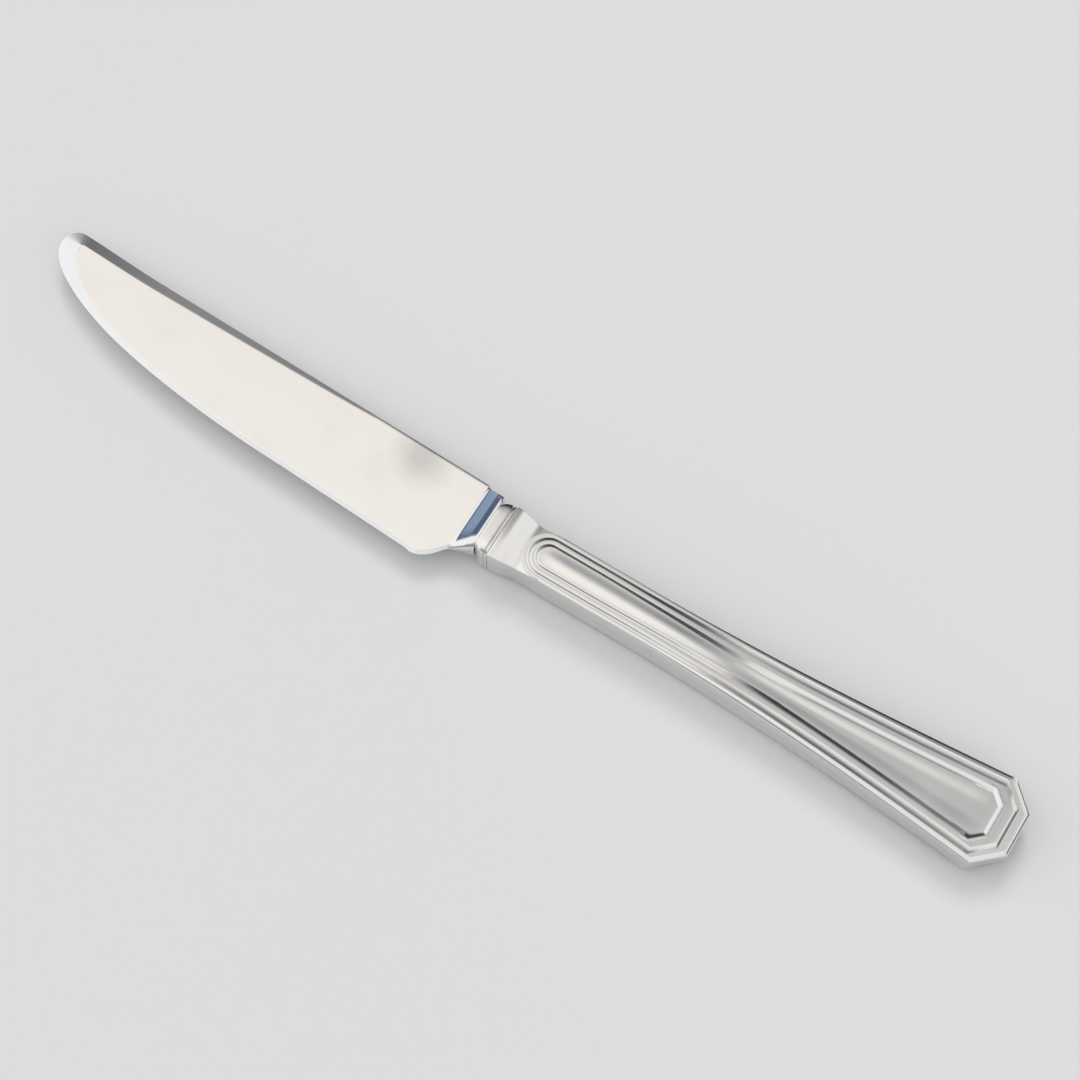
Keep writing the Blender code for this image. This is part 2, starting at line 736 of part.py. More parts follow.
def main():
    """Build the knife piece by piece."""
    clear_scene()
    origin = bpy.data.objects.new("knife_origin", None)
    bpy.context.collection.objects.link(origin)
    settle(origin, [
        build_blade(origin),
        build_collar(origin),
        build_shell("upper_shell", 1.0, origin),
        build_shell("lower_shell", -1.0, origin),
        build_braze(origin),
        build_cement(origin),
    ])


main()
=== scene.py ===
"""Looks of a polished steel table knife that lies on its side (metres, +Z up).

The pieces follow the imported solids: a forged blade with its bolster and tang, a collar on the
mouth of the handle, and a hollow handle of two stamped shells with a stepped border. Each piece is
laid out in the knife's own frame, with X = 0 at the mouth of the handle, Y = 0 on its axis and
Z = 0 on its middle plane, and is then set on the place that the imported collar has.
"""

import logging
import math
from collections.abc import Callable, Iterable, Sequence
from dataclasses import dataclass, field
from enum import Enum

import bmesh
import bpy
from mathutils import Euler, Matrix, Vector


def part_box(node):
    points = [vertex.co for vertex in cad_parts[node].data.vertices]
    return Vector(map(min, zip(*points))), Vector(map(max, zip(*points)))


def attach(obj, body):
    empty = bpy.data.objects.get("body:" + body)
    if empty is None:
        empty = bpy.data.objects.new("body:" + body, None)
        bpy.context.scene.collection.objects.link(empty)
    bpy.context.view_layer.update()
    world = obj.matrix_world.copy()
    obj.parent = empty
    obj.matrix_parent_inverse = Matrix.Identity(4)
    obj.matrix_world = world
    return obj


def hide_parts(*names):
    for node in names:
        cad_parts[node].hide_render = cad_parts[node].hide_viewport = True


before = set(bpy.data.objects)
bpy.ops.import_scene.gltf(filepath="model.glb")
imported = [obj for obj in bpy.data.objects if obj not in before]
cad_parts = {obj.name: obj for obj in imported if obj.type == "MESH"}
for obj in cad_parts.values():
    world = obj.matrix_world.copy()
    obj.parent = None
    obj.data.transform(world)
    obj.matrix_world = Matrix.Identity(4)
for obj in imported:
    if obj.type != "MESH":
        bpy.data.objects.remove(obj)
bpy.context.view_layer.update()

Point = tuple[float, float, float]
Spot = tuple[float, float]
Inset = tuple[float, float, float, float]
Color = tuple[float, float, float]
Rows = list[list[Point]]
Wear = float | list[float]
Height = Callable[[float], float]
Socket = bpy.types.NodeSocket
Value = float | Sequence[float] | Socket

BODY = "root"
FLOAT, VECTOR, RGBA = "NodeSocketFloat", "NodeSocketVector", "NodeSocketColor"

WELD = 1e-7
HAIRLINE = 0.00005
SHARP_ANGLE = math.radians(28.0)
HALVINGS = 40

# Wear is kept on the points of a mesh, from a crevice through none to a rubbed edge.
WEAR_LAYER = "wear"
CREVICE = -1.0
RUBBED = 1.0

# Numbers of points along a line round the handle, and places across it from +Y to -Y.
ARC_STEPS = 20
SIDE_STEPS = 96
CLIP_STEPS = 8
NECK_STEPS = 18
ACROSS_STEPS = 40
ACROSS = tuple(1.0 - 2.0 * i / ACROSS_STEPS for i in range(ACROSS_STEPS + 1))

# Middle of the painted dark reflection near the heel of the blade, a soft dark patch, in the
# knife's own frame.
DARK_REFLECTION_SPOT = (-0.0205, 0.0062, 0.0010)

log = logging.getLogger("table_knife")


class Side(Enum):
    """The two halves of the knife about its middle plane."""

    UPPER = 1.0
    LOWER = -1.0


class Slot(Enum):
    """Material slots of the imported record."""

    BLADE = "blade_steel"
    HANDLE = "handle_steel"
    BRAZE = "braze"
    CEMENT = "cement"


def mix(start: float, end: float, share: float) -> float:
    """Value that lies a share of the way from start to end."""
    return start + (end - start) * share


def clamp(share: float) -> float:
    """Share held between nought and one."""
    return min(max(share, 0.0), 1.0)


def ease(share: float) -> float:
    """Share of a change that starts and ends gently."""
    share = clamp(share)
    return share * share * (3.0 - 2.0 * share)


def spread(start: float, end: float, steps: int) -> list[float]:
    """Evenly spaced values from start to end, both included."""
    return [mix(start, end, i / steps) for i in range(steps + 1)]


def swell(share: float) -> float:
    """Share of a rise that is whole in the middle and nothing at both ends."""
    return math.sin(math.pi * share) ** 2


def crossing(low: float, high: float, before: Callable[[float], bool]) -> Spot:
    """Narrow down the place where a condition stops holding, by halving.

    Args:
        low: Value where it holds.
        high: Value where it does not.
        before: The condition.

    Returns:
        The last value found where it holds and the first one where it does not.
    """
    for _ in range(HALVINGS):
        middle = 0.5 * (low + high)
        if before(middle):
            low = middle
        else:
            high = middle
    return low, high


def on_side(rows: Iterable[Iterable[Point]], side: Side) -> Rows:
    """Rows that are laid out above the middle plane, set on a side of it."""
    return [[(x, y, side.value * z) for x, y, z in row] for row in rows]


def ring(x: float, half_width: float, half_height: float, power: float, middle: float = 0.0,
         low_power: float | None = None, count: int = 120) -> list[Point]:
    """Closed rounded-box section across the knife, with a flat on each of its four sides.

    Args:
        x: Station of the section.
        half_width: Half its size along Y.
        half_height: Half its size along Z.
        power: 2 for an ellipse, larger for a squarer box.
        middle: Y of its middle.
        low_power: Power of the half below the middle, where it differs.
        count: Number of points.

    Returns:
        The points of the section in order.
    """
    half_step = math.pi / count
    points = []
    for step in range(count):
        angle = half_step * (2 * step + 1)
        across, up = math.cos(angle), math.sin(angle)
        bend = 2.0 / (low_power if low_power and across < 0.0 else power)
        reach = math.cos(half_step) ** bend
        y = math.copysign(half_width / reach * abs(across) ** bend, across)
        z = math.copysign(half_height / reach * abs(up) ** bend, up)
        points.append((x, middle + y, z))
    return points


@dataclass(frozen=True)
class Seat:
    """Place of the knife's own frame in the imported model."""

    origin: Vector

    @classmethod
    def from_frame(cls) -> "Seat":
        """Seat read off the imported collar, which starts at the mouth and is centred on the axis.

        Returns:
            The seat.
        """
        low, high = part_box("mouth_collar")
        middle = (low + high) * 0.5
        return cls(Vector((low.x, middle.y, middle.z)))

    def at(self, x: float, y: float, z: float) -> Vector:
        """Point of the knife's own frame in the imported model's frame."""
        return self.origin + Vector((x, y, z))


class PieceMesh:
    """Closed mesh laid out as rows of points, each row with a mark for how worn it is."""

    def __init__(self) -> None:
        """Start with no points."""
        self.bm = bmesh.new()
        self.wear = self.bm.verts.layers.float.new(WEAR_LAYER)

    def _points(self, row: Sequence[Point], mark: Wear) -> list[bmesh.types.BMVert]:
        """Vertices for a row of points.

        Args:
            row: The points.
            mark: Wear from -1, a crevice, to 1, a rubbed edge, of the row or of each point.

        Returns:
            The new vertices.
        """
        made = []
        for point, wear in zip(row, mark if isinstance(mark, list) else [mark] * len(row)):
            vertex = self.bm.verts.new(point)
            vertex[self.wear] = wear
            made.append(vertex)
        return made

    def grid(self, rows: Sequence[Sequence[Point]], closed: bool = False,
             marks: Sequence[Wear] | None = None) -> None:
        """Faces between neighbouring rows.

        Args:
            rows: Rows of points, all of one length.
            closed: True if each row joins its ends.
            marks: Wear of each row; none where it is left out.
        """
        marks = marks or [0.0] * len(rows)
        made = [self._points(row, mark) for row, mark in zip(rows, marks)]
        for near, far in zip(made, made[1:]):
            count = len(near)
            for i in range(count if closed else count - 1):
                j = (i + 1) % count
                self.bm.faces.new((near[i], near[j], far[j], far[i]))

    def cap(self, row: Sequence[Point]) -> None:
        """Flat face across a closed row of points."""
        self.bm.faces.new(self._points(row, 0.0))

    def tube(self, rows: Sequence[Sequence[Point]]) -> None:
        """Tube through closed rows, with a flat face at each end.

        Args:
            rows: Closed rows of points, all of one length.
        """
        self.grid(rows, closed=True)
        self.cap(rows[0])
        self.cap(rows[-1])

    def piece(self, name: str, seat: Seat) -> bpy.types.Object:
        """Weld the rows and make the object.

        Args:
            name: Name of the piece.
            seat: Place of the knife's own frame.

        Returns:
            The object, linked to the scene.
        """
        bm = self.bm
        bmesh.ops.remove_doubles(bm, verts=bm.verts, dist=WELD)
        bmesh.ops.dissolve_degenerate(bm, dist=WELD, edges=bm.edges)
        bmesh.ops.recalc_face_normals(bm, faces=bm.faces)
        bmesh.ops.translate(bm, vec=seat.origin, verts=bm.verts)
        mesh = bpy.data.meshes.new(name)
        bm.to_mesh(mesh)
        bm.free()
        mesh.shade_smooth()
        mesh.set_sharp_from_angle(angle=SHARP_ANGLE)
        thing = bpy.data.objects.new(name, mesh)
        bpy.context.scene.collection.objects.link(thing)
        return thing


class Wiring:
    """Adds nodes to a node tree and links them."""

    def __init__(self, tree: bpy.types.NodeTree) -> None:
        """Work on one node tree."""
        self.tree = tree

    def add(self, kind: str, **settings: object) -> bpy.types.Node:
        """New node.

        Args:
            kind: Blender's name of the node type.
            settings: Properties to set on it.

        Returns:
            The node.
        """
        node = self.tree.nodes.new(kind)
        for name, value in settings.items():
            setattr(node, name, value)
        return node

    def feed(self, target: Socket, value: Value) -> None:
        """Link a socket to a target, or set the target's own value.

        Args:
            target: The socket that takes the value.
            value: A socket to link, or a plain value.
        """
        if isinstance(value, bpy.types.NodeSocket):
            self.tree.links.new(value, target)
        else:
            target.default_value = value

    def coordinates(self) -> Socket:
        """Coordinates on the object itself."""
        return self.add("ShaderNodeTexCoord").outputs["Object"]

    def math(self, operation: str, *values: Value) -> Socket:
        """Result of a Math node.

        Args:
            operation: Blender's name of the operation.
            values: What it works on.

        Returns:
            The result.
        """
        node = self.add("ShaderNodeMath", operation=operation)
        for target, value in zip(node.inputs, values):
            self.feed(target, value)
        return node.outputs[0]

    def scaled(self, vector: Value, factors: Sequence[float], turn: float = 0.0) -> Socket:
        """Coordinates that are stretched and turned.

        Args:
            vector: The coordinates.
            factors: Factor for each axis.
            turn: Angle about Z.

        Returns:
            The new coordinates.
        """
        node = self.add("ShaderNodeMapping", vector_type="POINT")
        self.feed(node.inputs["Vector"], vector)
        node.inputs["Rotation"].default_value = (0.0, 0.0, turn)
        node.inputs["Scale"].default_value = factors
        return node.outputs[0]

    def noise(self, vector: Value, scale: Value, detail: float) -> Socket:
        """Noise over some coordinates.

        Args:
            vector: The coordinates.
            scale: How densely it varies.
            detail: How many finer layers it has.

        Returns:
            The noise.
        """
        node = self.add("ShaderNodeTexNoise")
        self.feed(node.inputs["Vector"], vector)
        self.feed(node.inputs["Scale"], scale)
        node.inputs["Detail"].default_value = detail
        return node.outputs["Fac"]

    def ramp(self, value: Value, low: float, high: float, start: float = 0.0,
             end: float = 1.0) -> Socket:
        """Value carried smoothly from one range onto another.

        Args:
            value: The value.
            low: Start of its range.
            high: End of its range.
            start: Start of the new range.
            end: End of the new range.

        Returns:
            The new value.
        """
        node = self.add("ShaderNodeMapRange", interpolation_type="SMOOTHSTEP")
        names = ("Value", "From Min", "From Max", "To Min", "To Max")
        for name, given in zip(names, (value, low, high, start, end)):
            self.feed(node.inputs[name], given)
        return node.outputs[0]

    def blend(self, share: Value, first: Value, second: Value, mode: str = "MIX") -> Socket:
        """Two colours mixed.

        Args:
            share: Share of the second colour.
            first: The first colour.
            second: The second colour.
            mode: Blender's name of the way they mix.

        Returns:
            The mixed colour.
        """
        node = self.add("ShaderNodeMix", data_type="RGBA", blend_type=mode)
        self.feed(node.inputs[0], share)
        for target, value in ((node.inputs[6], first), (node.inputs[7], second)):
            self.feed(target, (*value, 1.0) if isinstance(value, tuple) else value)
        return node.outputs[2]


@dataclass(frozen=True)
class Port:
    """Named input or output of a shared effect."""

    name: str
    kind: str
    value: object = None


class SharedEffect:
    """Shader node group with named inputs and outputs, built once."""

    def __init__(self, name: str, takes: Iterable[Port], gives: Iterable[Port]) -> None:
        """Make the group and its sockets.

        Args:
            name: Name of the group.
            takes: Its inputs, with their starting values.
            gives: Its outputs.
        """
        self.tree = bpy.data.node_groups.new(name, "ShaderNodeTree")
        interface = self.tree.interface
        for port in takes:
            socket = interface.new_socket(port.name, in_out="INPUT", socket_type=port.kind)
            socket.default_value = port.value
        for port in gives:
            interface.new_socket(port.name, in_out="OUTPUT", socket_type=port.kind)
        self.wiring = Wiring(self.tree)
        self.takes = self.wiring.add("NodeGroupInput").outputs
        self.gives = self.wiring.add("NodeGroupOutput").inputs

    def place(self, wiring: Wiring, **values: Value) -> bpy.types.bpy_prop_collection:
        """Put the effect into a material.

        Args:
            wiring: The material's nodes.
            values: Inputs by name, with an underscore for each space.

        Returns:
            The outputs of the placed group.
        """
        node = wiring.add("ShaderNodeGroup", node_tree=self.tree)
        for name, value in values.items():
            wiring.feed(node.inputs[name.replace("_", " ").title()], value)
        return node.outputs

    def give(self, **values: Socket) -> "SharedEffect":
        """Link the outputs.

        Args:
            values: Outputs by name.

        Returns:
            The effect itself.
        """
        for name, value in values.items():
            self.wiring.feed(self.gives[name.title()], value)
        return self


@dataclass(frozen=True)
class PolishMarks:
    """Fine lines left by polishing along the knife, and stray scratches across them."""

    grain_stretch: Point = (0.03, 1.0, 1.0)
    grain_detail: float = 3.0
    scratch_stretches: tuple[Point, Point] = ((0.05, 1.6, 1.6), (0.04, 1.3, 1.3))
    scratch_turns: Spot = (math.radians(24.0), math.radians(-11.0))
    scratch_detail: float = 1.0
    scratch_limit: float = 0.84
    scratch_gain: float = 0.2
    scratch_soft: float = 0.05
    height_share: float = 0.5

    def effect(self) -> SharedEffect:
        """The effect.

        Returns:
            Its node group.
        """
        effect = SharedEffect(
            "polish_marks",
            (Port("Grain Width", FLOAT, 0.0004), Port("Scratch Share", FLOAT, 0.3)),
            (Port("Grain", FLOAT), Port("Scratches", FLOAT), Port("Height", FLOAT)),
        )
        w, takes = effect.wiring, effect.takes
        place = w.coordinates()
        density = w.math("DIVIDE", 1.0, takes["Grain Width"])
        grain = w.noise(w.scaled(place, self.grain_stretch), density, self.grain_detail)
        lines = [w.noise(w.scaled(place, stretch, turn), density, self.scratch_detail)
                 for stretch, turn in zip(self.scratch_stretches, self.scratch_turns)]
        gain = w.math("MULTIPLY", takes["Scratch Share"], self.scratch_gain)
        limit = w.math("SUBTRACT", self.scratch_limit, gain)
        over = w.math("SUBTRACT", w.math("MAXIMUM", *lines), limit)
        scratches = w.ramp(over, 0.0, self.scratch_soft)
        height = w.math("SUBTRACT", w.math("MULTIPLY", grain, self.height_share),
                        w.math("MULTIPLY", scratches, self.height_share))
        return effect.give(grain=grain, scratches=scratches, height=height)


@dataclass(frozen=True)
class SmudgeAndReflectionMarks:
    """Soft smudges, and a painted dark reflection: one soft dark patch at a given place."""

    cloud_detail: float = 4.0
    cloud_range: Spot = (0.46, 0.74)
    film_stretch: Point = (1.0, 2.2, 2.2)
    film_turn: float = math.radians(30.0)
    film_density: float = 4.0
    film_detail: float = 2.0
    film_range: Spot = (0.25, 0.75)
    film_least: float = 0.45
    # spot_core and spot_ragged shape the painted dark reflection: its solid middle and its ragged
    # border.
    spot_core: float = 0.10
    spot_ragged: float = 0.9

    def effect(self) -> SharedEffect:
        """The effect.

        Returns:
            Its node group.
        """
        # Spot Place and Spot Size set where and how large the painted dark reflection is; the Spot
        # output is that painted dark patch.
        effect = SharedEffect(
            "smudge_and_reflection_marks",
            (Port("Smudge Size", FLOAT, 0.012), Port("Spot Place", VECTOR, (0.0, 0.0, 0.0)),
             Port("Spot Size", FLOAT, 0.0001)),
            (Port("Smudge", FLOAT), Port("Spot", FLOAT)),
        )
        w, takes = effect.wiring, effect.takes
        place = w.coordinates()
        density = w.math("DIVIDE", 1.0, takes["Smudge Size"])
        cloud = w.noise(place, density, self.cloud_detail)
        film = w.noise(w.scaled(place, self.film_stretch, self.film_turn),
                       w.math("MULTIPLY", density, self.film_density), self.film_detail)
        smudge = w.math("MULTIPLY", w.ramp(cloud, *self.cloud_range),
                        w.ramp(film, *self.film_range, self.film_least, 1.0))
        # The spot: a painted dark reflection, a soft dark patch round a given place with a ragged
        # border.
        far = w.add("ShaderNodeVectorMath", operation="DISTANCE")
        w.feed(far.inputs[0], place)
        w.feed(far.inputs[1], takes["Spot Place"])
        reach = w.math("DIVIDE", far.outputs["Value"], takes["Spot Size"])
        shift = w.math("MULTIPLY", w.math("SUBTRACT", cloud, 0.5), self.spot_ragged)
        spot = w.ramp(w.math("ADD", reach, shift), self.spot_core, 1.0, 1.0, 0.0)
        return effect.give(smudge=smudge, spot=spot)


@dataclass(frozen=True)
class WornColor:
    """Metal colour that darkens in crevices and brightens on rubbed edges."""

    rubbed_tone: Color = (0.96, 0.95, 0.93)
    film_share: float = 0.5
    patch_density: float = 700.0
    patch_detail: float = 3.0
    patch_range: Spot = (0.2, 0.7)
    patch_least: float = 0.7

    def effect(self) -> SharedEffect:
        """The effect.

        Returns:
            Its node group.
        """
        effect = SharedEffect(
            "worn_color",
            (Port("Metal", RGBA, (0.8, 0.8, 0.8, 1.0)),
             Port("Tarnish", RGBA, (0.3, 0.28, 0.26, 1.0)),
             Port("Wear", FLOAT, 0.0), Port("Depth", FLOAT, 0.7), Port("Shine", FLOAT, 0.3),
             Port("Film", FLOAT, 0.0)),
            (Port("Color", RGBA), Port("Crevice", FLOAT), Port("Rubbed", FLOAT)),
        )
        w, takes = effect.wiring, effect.takes
        patches = w.noise(w.coordinates(), self.patch_density, self.patch_detail)
        patchy = w.ramp(patches, *self.patch_range, self.patch_least, 1.0)
        crevice = w.math("MULTIPLY", w.ramp(takes["Wear"], 0.0, CREVICE), patchy)
        rubbed = w.math("MULTIPLY", w.ramp(takes["Wear"], 0.0, RUBBED), patchy)
        # Film dulls the metal towards the tarnish colour: real smudges, plus any painted dark
        # reflection that the material adds.
        film = w.math("MULTIPLY", takes["Film"], self.film_share)
        dulled = w.blend(film, takes["Metal"], takes["Tarnish"])
        dark = w.blend(w.math("MULTIPLY", crevice, takes["Depth"]), dulled, takes["Tarnish"])
        bright = w.blend(w.math("MULTIPLY", rubbed, takes["Shine"]), dark, self.rubbed_tone)
        return effect.give(color=bright, crevice=crevice, rubbed=rubbed)


@dataclass(frozen=True)
class MottledMix:
    """Two colours that mix in clouds and specks, with a rough height."""

    cloud_detail: float = 5.0
    cloud_range: Spot = (0.35, 0.68)
    cloud_share: float = 0.8
    speck_density: float = 6.0
    speck_detail: float = 1.0
    speck_range: Spot = (0.6, 0.72)
    speck_height: float = 0.4

    def effect(self) -> SharedEffect:
        """The effect.

        Returns:
            Its node group.
        """
        effect = SharedEffect(
            "mottled",
            (Port("First", RGBA, (0.6, 0.6, 0.6, 1.0)), Port("Second", RGBA, (0.4, 0.4, 0.4, 1.0)),
             Port("Cloud Size", FLOAT, 0.002)),
            (Port("Color", RGBA), Port("Cloud", FLOAT), Port("Height", FLOAT)),
        )
        w, takes = effect.wiring, effect.takes
        place = w.coordinates()
        density = w.math("DIVIDE", 1.0, takes["Cloud Size"])
        cloud = w.ramp(w.noise(place, density, self.cloud_detail), *self.cloud_range)
        fine = w.math("MULTIPLY", density, self.speck_density)
        specks = w.ramp(w.noise(place, fine, self.speck_detail), *self.speck_range)
        share = w.math("MAXIMUM", w.math("MULTIPLY", cloud, self.cloud_share), specks)
        color = w.blend(share, takes["First"], takes["Second"])
        height = w.math("ADD", cloud, w.math("MULTIPLY", specks, self.speck_height))
        return effect.give(color=color, cloud=cloud, height=height)


@dataclass(frozen=True)
class Effects:
    """The shared effects that the finishes are made from."""

    polish: SharedEffect = field(default_factory=PolishMarks().effect)
    smudge_and_reflection: SharedEffect = field(default_factory=SmudgeAndReflectionMarks().effect)
    worn: SharedEffect = field(default_factory=WornColor().effect)
    mottled: SharedEffect = field(default_factory=MottledMix().effect)


def new_material(name: str) -> tuple[bpy.types.Material, Wiring, bpy.types.Node]:
    """Material with a Principled shader.

    Args:
        name: Name of the material.

    Returns:
        The material, its wiring and its shader.
    """
    material = bpy.data.materials.new(name)
    material.use_nodes = True
    return material, Wiring(material.node_tree), material.node_tree.nodes["Principled BSDF"]


def add_bump(w: Wiring, shader: bpy.types.Node, height: Socket, strength: float,
             distance: float) -> None:
    """Bump from a height.

    Args:
        w: Wiring of the material.
        shader: Its shader.
        height: Height over the surface.
        strength: How strongly it shows.
        distance: Its depth in metres.
    """
    bump = w.add("ShaderNodeBump")
    bump.inputs["Strength"].default_value = strength
    bump.inputs["Distance"].default_value = distance
    w.feed(bump.inputs["Height"], height)
    w.feed(shader.inputs["Normal"], bump.outputs["Normal"])


@dataclass(frozen=True)
class PolishedSteel:
    """Polished stainless steel with polishing lines, scratches, smudges and worn edges, and a
    painted dark reflection where a spot is given.
    """

    name: str
    metal: Color
    tarnish: Color
    roughness: float
    grain_width: float = 0.0004
    scratch_share: float = 0.3
    smudge_size: float = 0.012
    smudge_film: float = 0.12
    # The spot is a painted dark reflection: a soft dark patch mixed towards the tarnish colour.
    spot_place: Point = (0.0, 0.0, 0.0)
    spot_size: float = 0.0001
    painted_reflection_share: float = 0.0
    depth: float = 0.7
    shine: float = 0.3
    grain_rough: float = 0.04
    scratch_rough: float = 0.05
    smudge_rough: float = 0.06
    crevice_rough: float = 0.18
    bump_strength: float = 0.03
    bump_depth: float = 0.00003

    def material(self, effects: Effects) -> bpy.types.Material:
        """Material of the finish.

        Args:
            effects: The shared effects.

        Returns:
            The material.
        """
        material, w, shader = new_material(self.name)
        marks = effects.polish.place(
            w, grain_width=self.grain_width, scratch_share=self.scratch_share)
        smudge_reflection = effects.smudge_and_reflection.place(
            w, smudge_size=self.smudge_size, spot_place=self.spot_place, spot_size=self.spot_size)
        # Film: real smudges, plus the painted dark reflection of the spot.
        film = w.math("ADD", w.math("MULTIPLY", smudge_reflection["Smudge"], self.smudge_film),
                      w.math("MULTIPLY", smudge_reflection["Spot"], self.painted_reflection_share))
        wear = w.add("ShaderNodeAttribute", attribute_type="GEOMETRY", attribute_name=WEAR_LAYER)
        worn = effects.worn.place(
            w, metal=(*self.metal, 1.0), tarnish=(*self.tarnish, 1.0), wear=wear.outputs["Fac"],
            depth=self.depth, shine=self.shine, film=film)
        w.feed(shader.inputs["Base Color"], worn["Color"])
        rough = self.roughness
        for value, share in ((marks["Grain"], self.grain_rough),
                             (marks["Scratches"], self.scratch_rough),
                             (smudge_reflection["Smudge"], self.smudge_rough),
                             (worn["Crevice"], self.crevice_rough)):
            rough = w.math("ADD", rough, w.math("MULTIPLY", value, share))
        w.feed(shader.inputs["Roughness"], rough)
        shader.inputs["Metallic"].default_value = 1.0
        add_bump(w, shader, marks["Height"], self.bump_strength, self.bump_depth)
        return material


@dataclass(frozen=True)
class Mottled:
    """Unpolished filler inside the handle, in two mottled colours."""

    name: str
    first: Color
    second: Color
    cloud_size: float
    roughness: float
    metallic: float
    cloud_rough: float = 0.8
    bump_strength: float = 0.4
    bump_depth: float = 0.0002

    def material(self, effects: Effects) -> bpy.types.Material:
        """Material of the finish.

        Args:
            effects: The shared effects.

        Returns:
            The material.
        """
        material, w, shader = new_material(self.name)
        made = effects.mottled.place(
            w, first=(*self.first, 1.0), second=(*self.second, 1.0), cloud_size=self.cloud_size)
        w.feed(shader.inputs["Base Color"], made["Color"])
        rough = w.ramp(made["Cloud"], 0.0, 1.0, self.roughness, self.cloud_rough * self.roughness)
        w.feed(shader.inputs["Roughness"], rough)
        shader.inputs["Metallic"].default_value = self.metallic
        add_bump(w, shader, made["Height"], self.bump_strength, self.bump_depth)
        return material


def settle(piece: bpy.types.Object, material: bpy.types.Material, slot: Slot,
           *nodes: str) -> None:
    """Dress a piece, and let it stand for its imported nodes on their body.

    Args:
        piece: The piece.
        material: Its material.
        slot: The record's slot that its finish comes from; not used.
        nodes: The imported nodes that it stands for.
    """
    piece.data.materials.clear()
    piece.data.materials.append(material)
    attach(piece, BODY)
    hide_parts(*nodes)
    log.info("%s: %d faces, stands for %s", piece.name, len(piece.data.polygons), ", ".join(nodes))


@dataclass(frozen=True)
class Blade:
    """Blade, bolster and tang, forged in one."""

    length: float = 0.1103
    width: float = 0.0203
    heel_drop: float = 0.0009
    heel_round: float = 0.0042
    heel_angle: float = math.radians(48.0)
    root_depth: float = 0.0079
    belly_length: float = 0.0700
    belly_power: float = 0.47
    tip_depth: float = 0.0038
    tip_round: float = 0.0038
    tip_lift: float = 0.0006
    tip_lift_length: float = 0.0250
    spine_offset: float = 0.0083
    spine_rise: float = math.radians(1.6)
    spine_thickness: float = 0.0023
    tip_thickness: float = 0.0016
    edge_thickness: float = 0.0003
    bevel_thickness: float = 0.0009
    spine_bevel: float = 0.0022
    spine_bevel_length: float = 0.0820
    spine_bevel_angles: Spot = (math.radians(10.5), math.radians(8.3))
    spine_bevel_turn: float = 0.035
    spine_bevel_power: float = 0.72
    edge_bevel_tip: float = 0.0045
    edge_bevel_heel: float = 0.00095
    edge_bevel_fade: float = 0.0100
    bolster_length: float = 0.0050
    bolster_top_front: float = 0.0080
    bolster_top_rear: float = 0.0071
    bolster_low_rear: float = 0.0059
    bolster_thickness: float = 0.0074
    bolster_step: float = 0.00003
    bolster_squareness: float = 12.0
    bolster_low_squareness: float = 3.6
    bolster_fillet: float = 0.22
    bolster_ramp: Spot = (0.58, 0.68)
    bolster_chamfer: float = 0.77
    bolster_crest: float = 0.18
    bolster_corner: float = 0.0005
    tang_length: float = 0.0580
    tang_width: float = 0.0041
    tang_thickness: float = 0.0032
    tang_taper: float = 0.70
    tang_squareness: float = 6.0
    steps: int = 150
    tip_steps: int = 22
    bolster_steps: int = 36
    heel_crowding: float = 1.35
    border_probe: float = 0.1
    shave: float = 0.00004
    bevel_shares: tuple[float, ...] = (0.0, 0.04, 0.5, 0.96, 1.0)
    bevel_wear: tuple[float, ...] = (RUBBED, 0.5, 0.0, 0.1, 0.3)
    face_shares: tuple[float, ...] = (0.0, 0.02, 0.1, 0.25, 0.4, 0.55, 0.7, 0.85, 0.95, 0.985, 1.0)

    @property
    def root(self) -> float:
        """Station where the blade enters the bolster."""
        return -self.bolster_length

    @property
    def tip(self) -> float:
        """Station of the tip."""
        return self.root - self.length

    def spine_height(self, x: float) -> float:
        """Height of the spine's line above the axis, with a lift near the tip.

        Args:
            x: Station along the knife.

        Returns:
            The height.
        """
        run = self.root - x
        near = (run - self.length + self.tip_lift_length) / self.tip_lift_length
        return self.spine_offset + run * math.tan(self.spine_rise) + self.tip_lift * ease(near)

    def spine_outline(self, x: float) -> float:
        """Spine as it is seen, rounded off into the tip."""
        left = 1.0 - min((x - self.tip) / self.tip_round, 1.0)
        return self.spine_height(x) - self.tip_depth * (1.0 - math.sqrt(max(0.0, 1.0 - left ** 2)))

    def edge_line(self, x: float) -> float:
        """Cutting edge: a long belly that sweeps up to the tip, and a slight drop to the heel.

        Args:
            x: Station along the knife.

        Returns:
            Its Y.
        """
        run = x - self.tip
        if run < self.belly_length:
            belly = (1.0 - (1.0 - run / self.belly_length) ** 2) ** self.belly_power
            return self.spine_height(x) - mix(self.tip_depth, self.width, belly)
        drop = self.heel_drop * (run - self.belly_length) / (self.length - self.belly_length)
        return self.spine_height(x) - self.width - drop

    def lower_outline(self, x: float) -> float:
        """Cutting edge and the heel's ramp, blended by a round.

        Args:
            x: Station along the knife.

        Returns:
            Its Y.
        """
        ramp = -self.root_depth + math.tan(self.heel_angle) * (x - self.root)
        edge = self.edge_line(x)
        share = clamp(0.5 + 0.5 * (edge - ramp) / self.heel_round)
        return mix(ramp, edge, share) + self.heel_round * share * (1.0 - share) * 0.5

    def face_half(self, x: float, y: float) -> float:
        """Half the thickness on the blade's face, thinning to the edge and to the tip.

        Args:
            x: Station along the knife.
            y: Place across it.

        Returns:
            The half thickness.
        """
        spine = mix(self.tip_thickness, self.spine_thickness, (x - self.tip) / self.length)
        edge = self.edge_line(x)
        share = (y - edge) / (self.spine_height(x) - edge)
        return 0.5 * mix(self.bevel_thickness, spine, share)

    def on_face(self, spots: Iterable[Spot]) -> list[Point]:
        """Points of the upper face at the given places."""
        return [(x, y, self.face_half(x, y)) for x, y in spots]

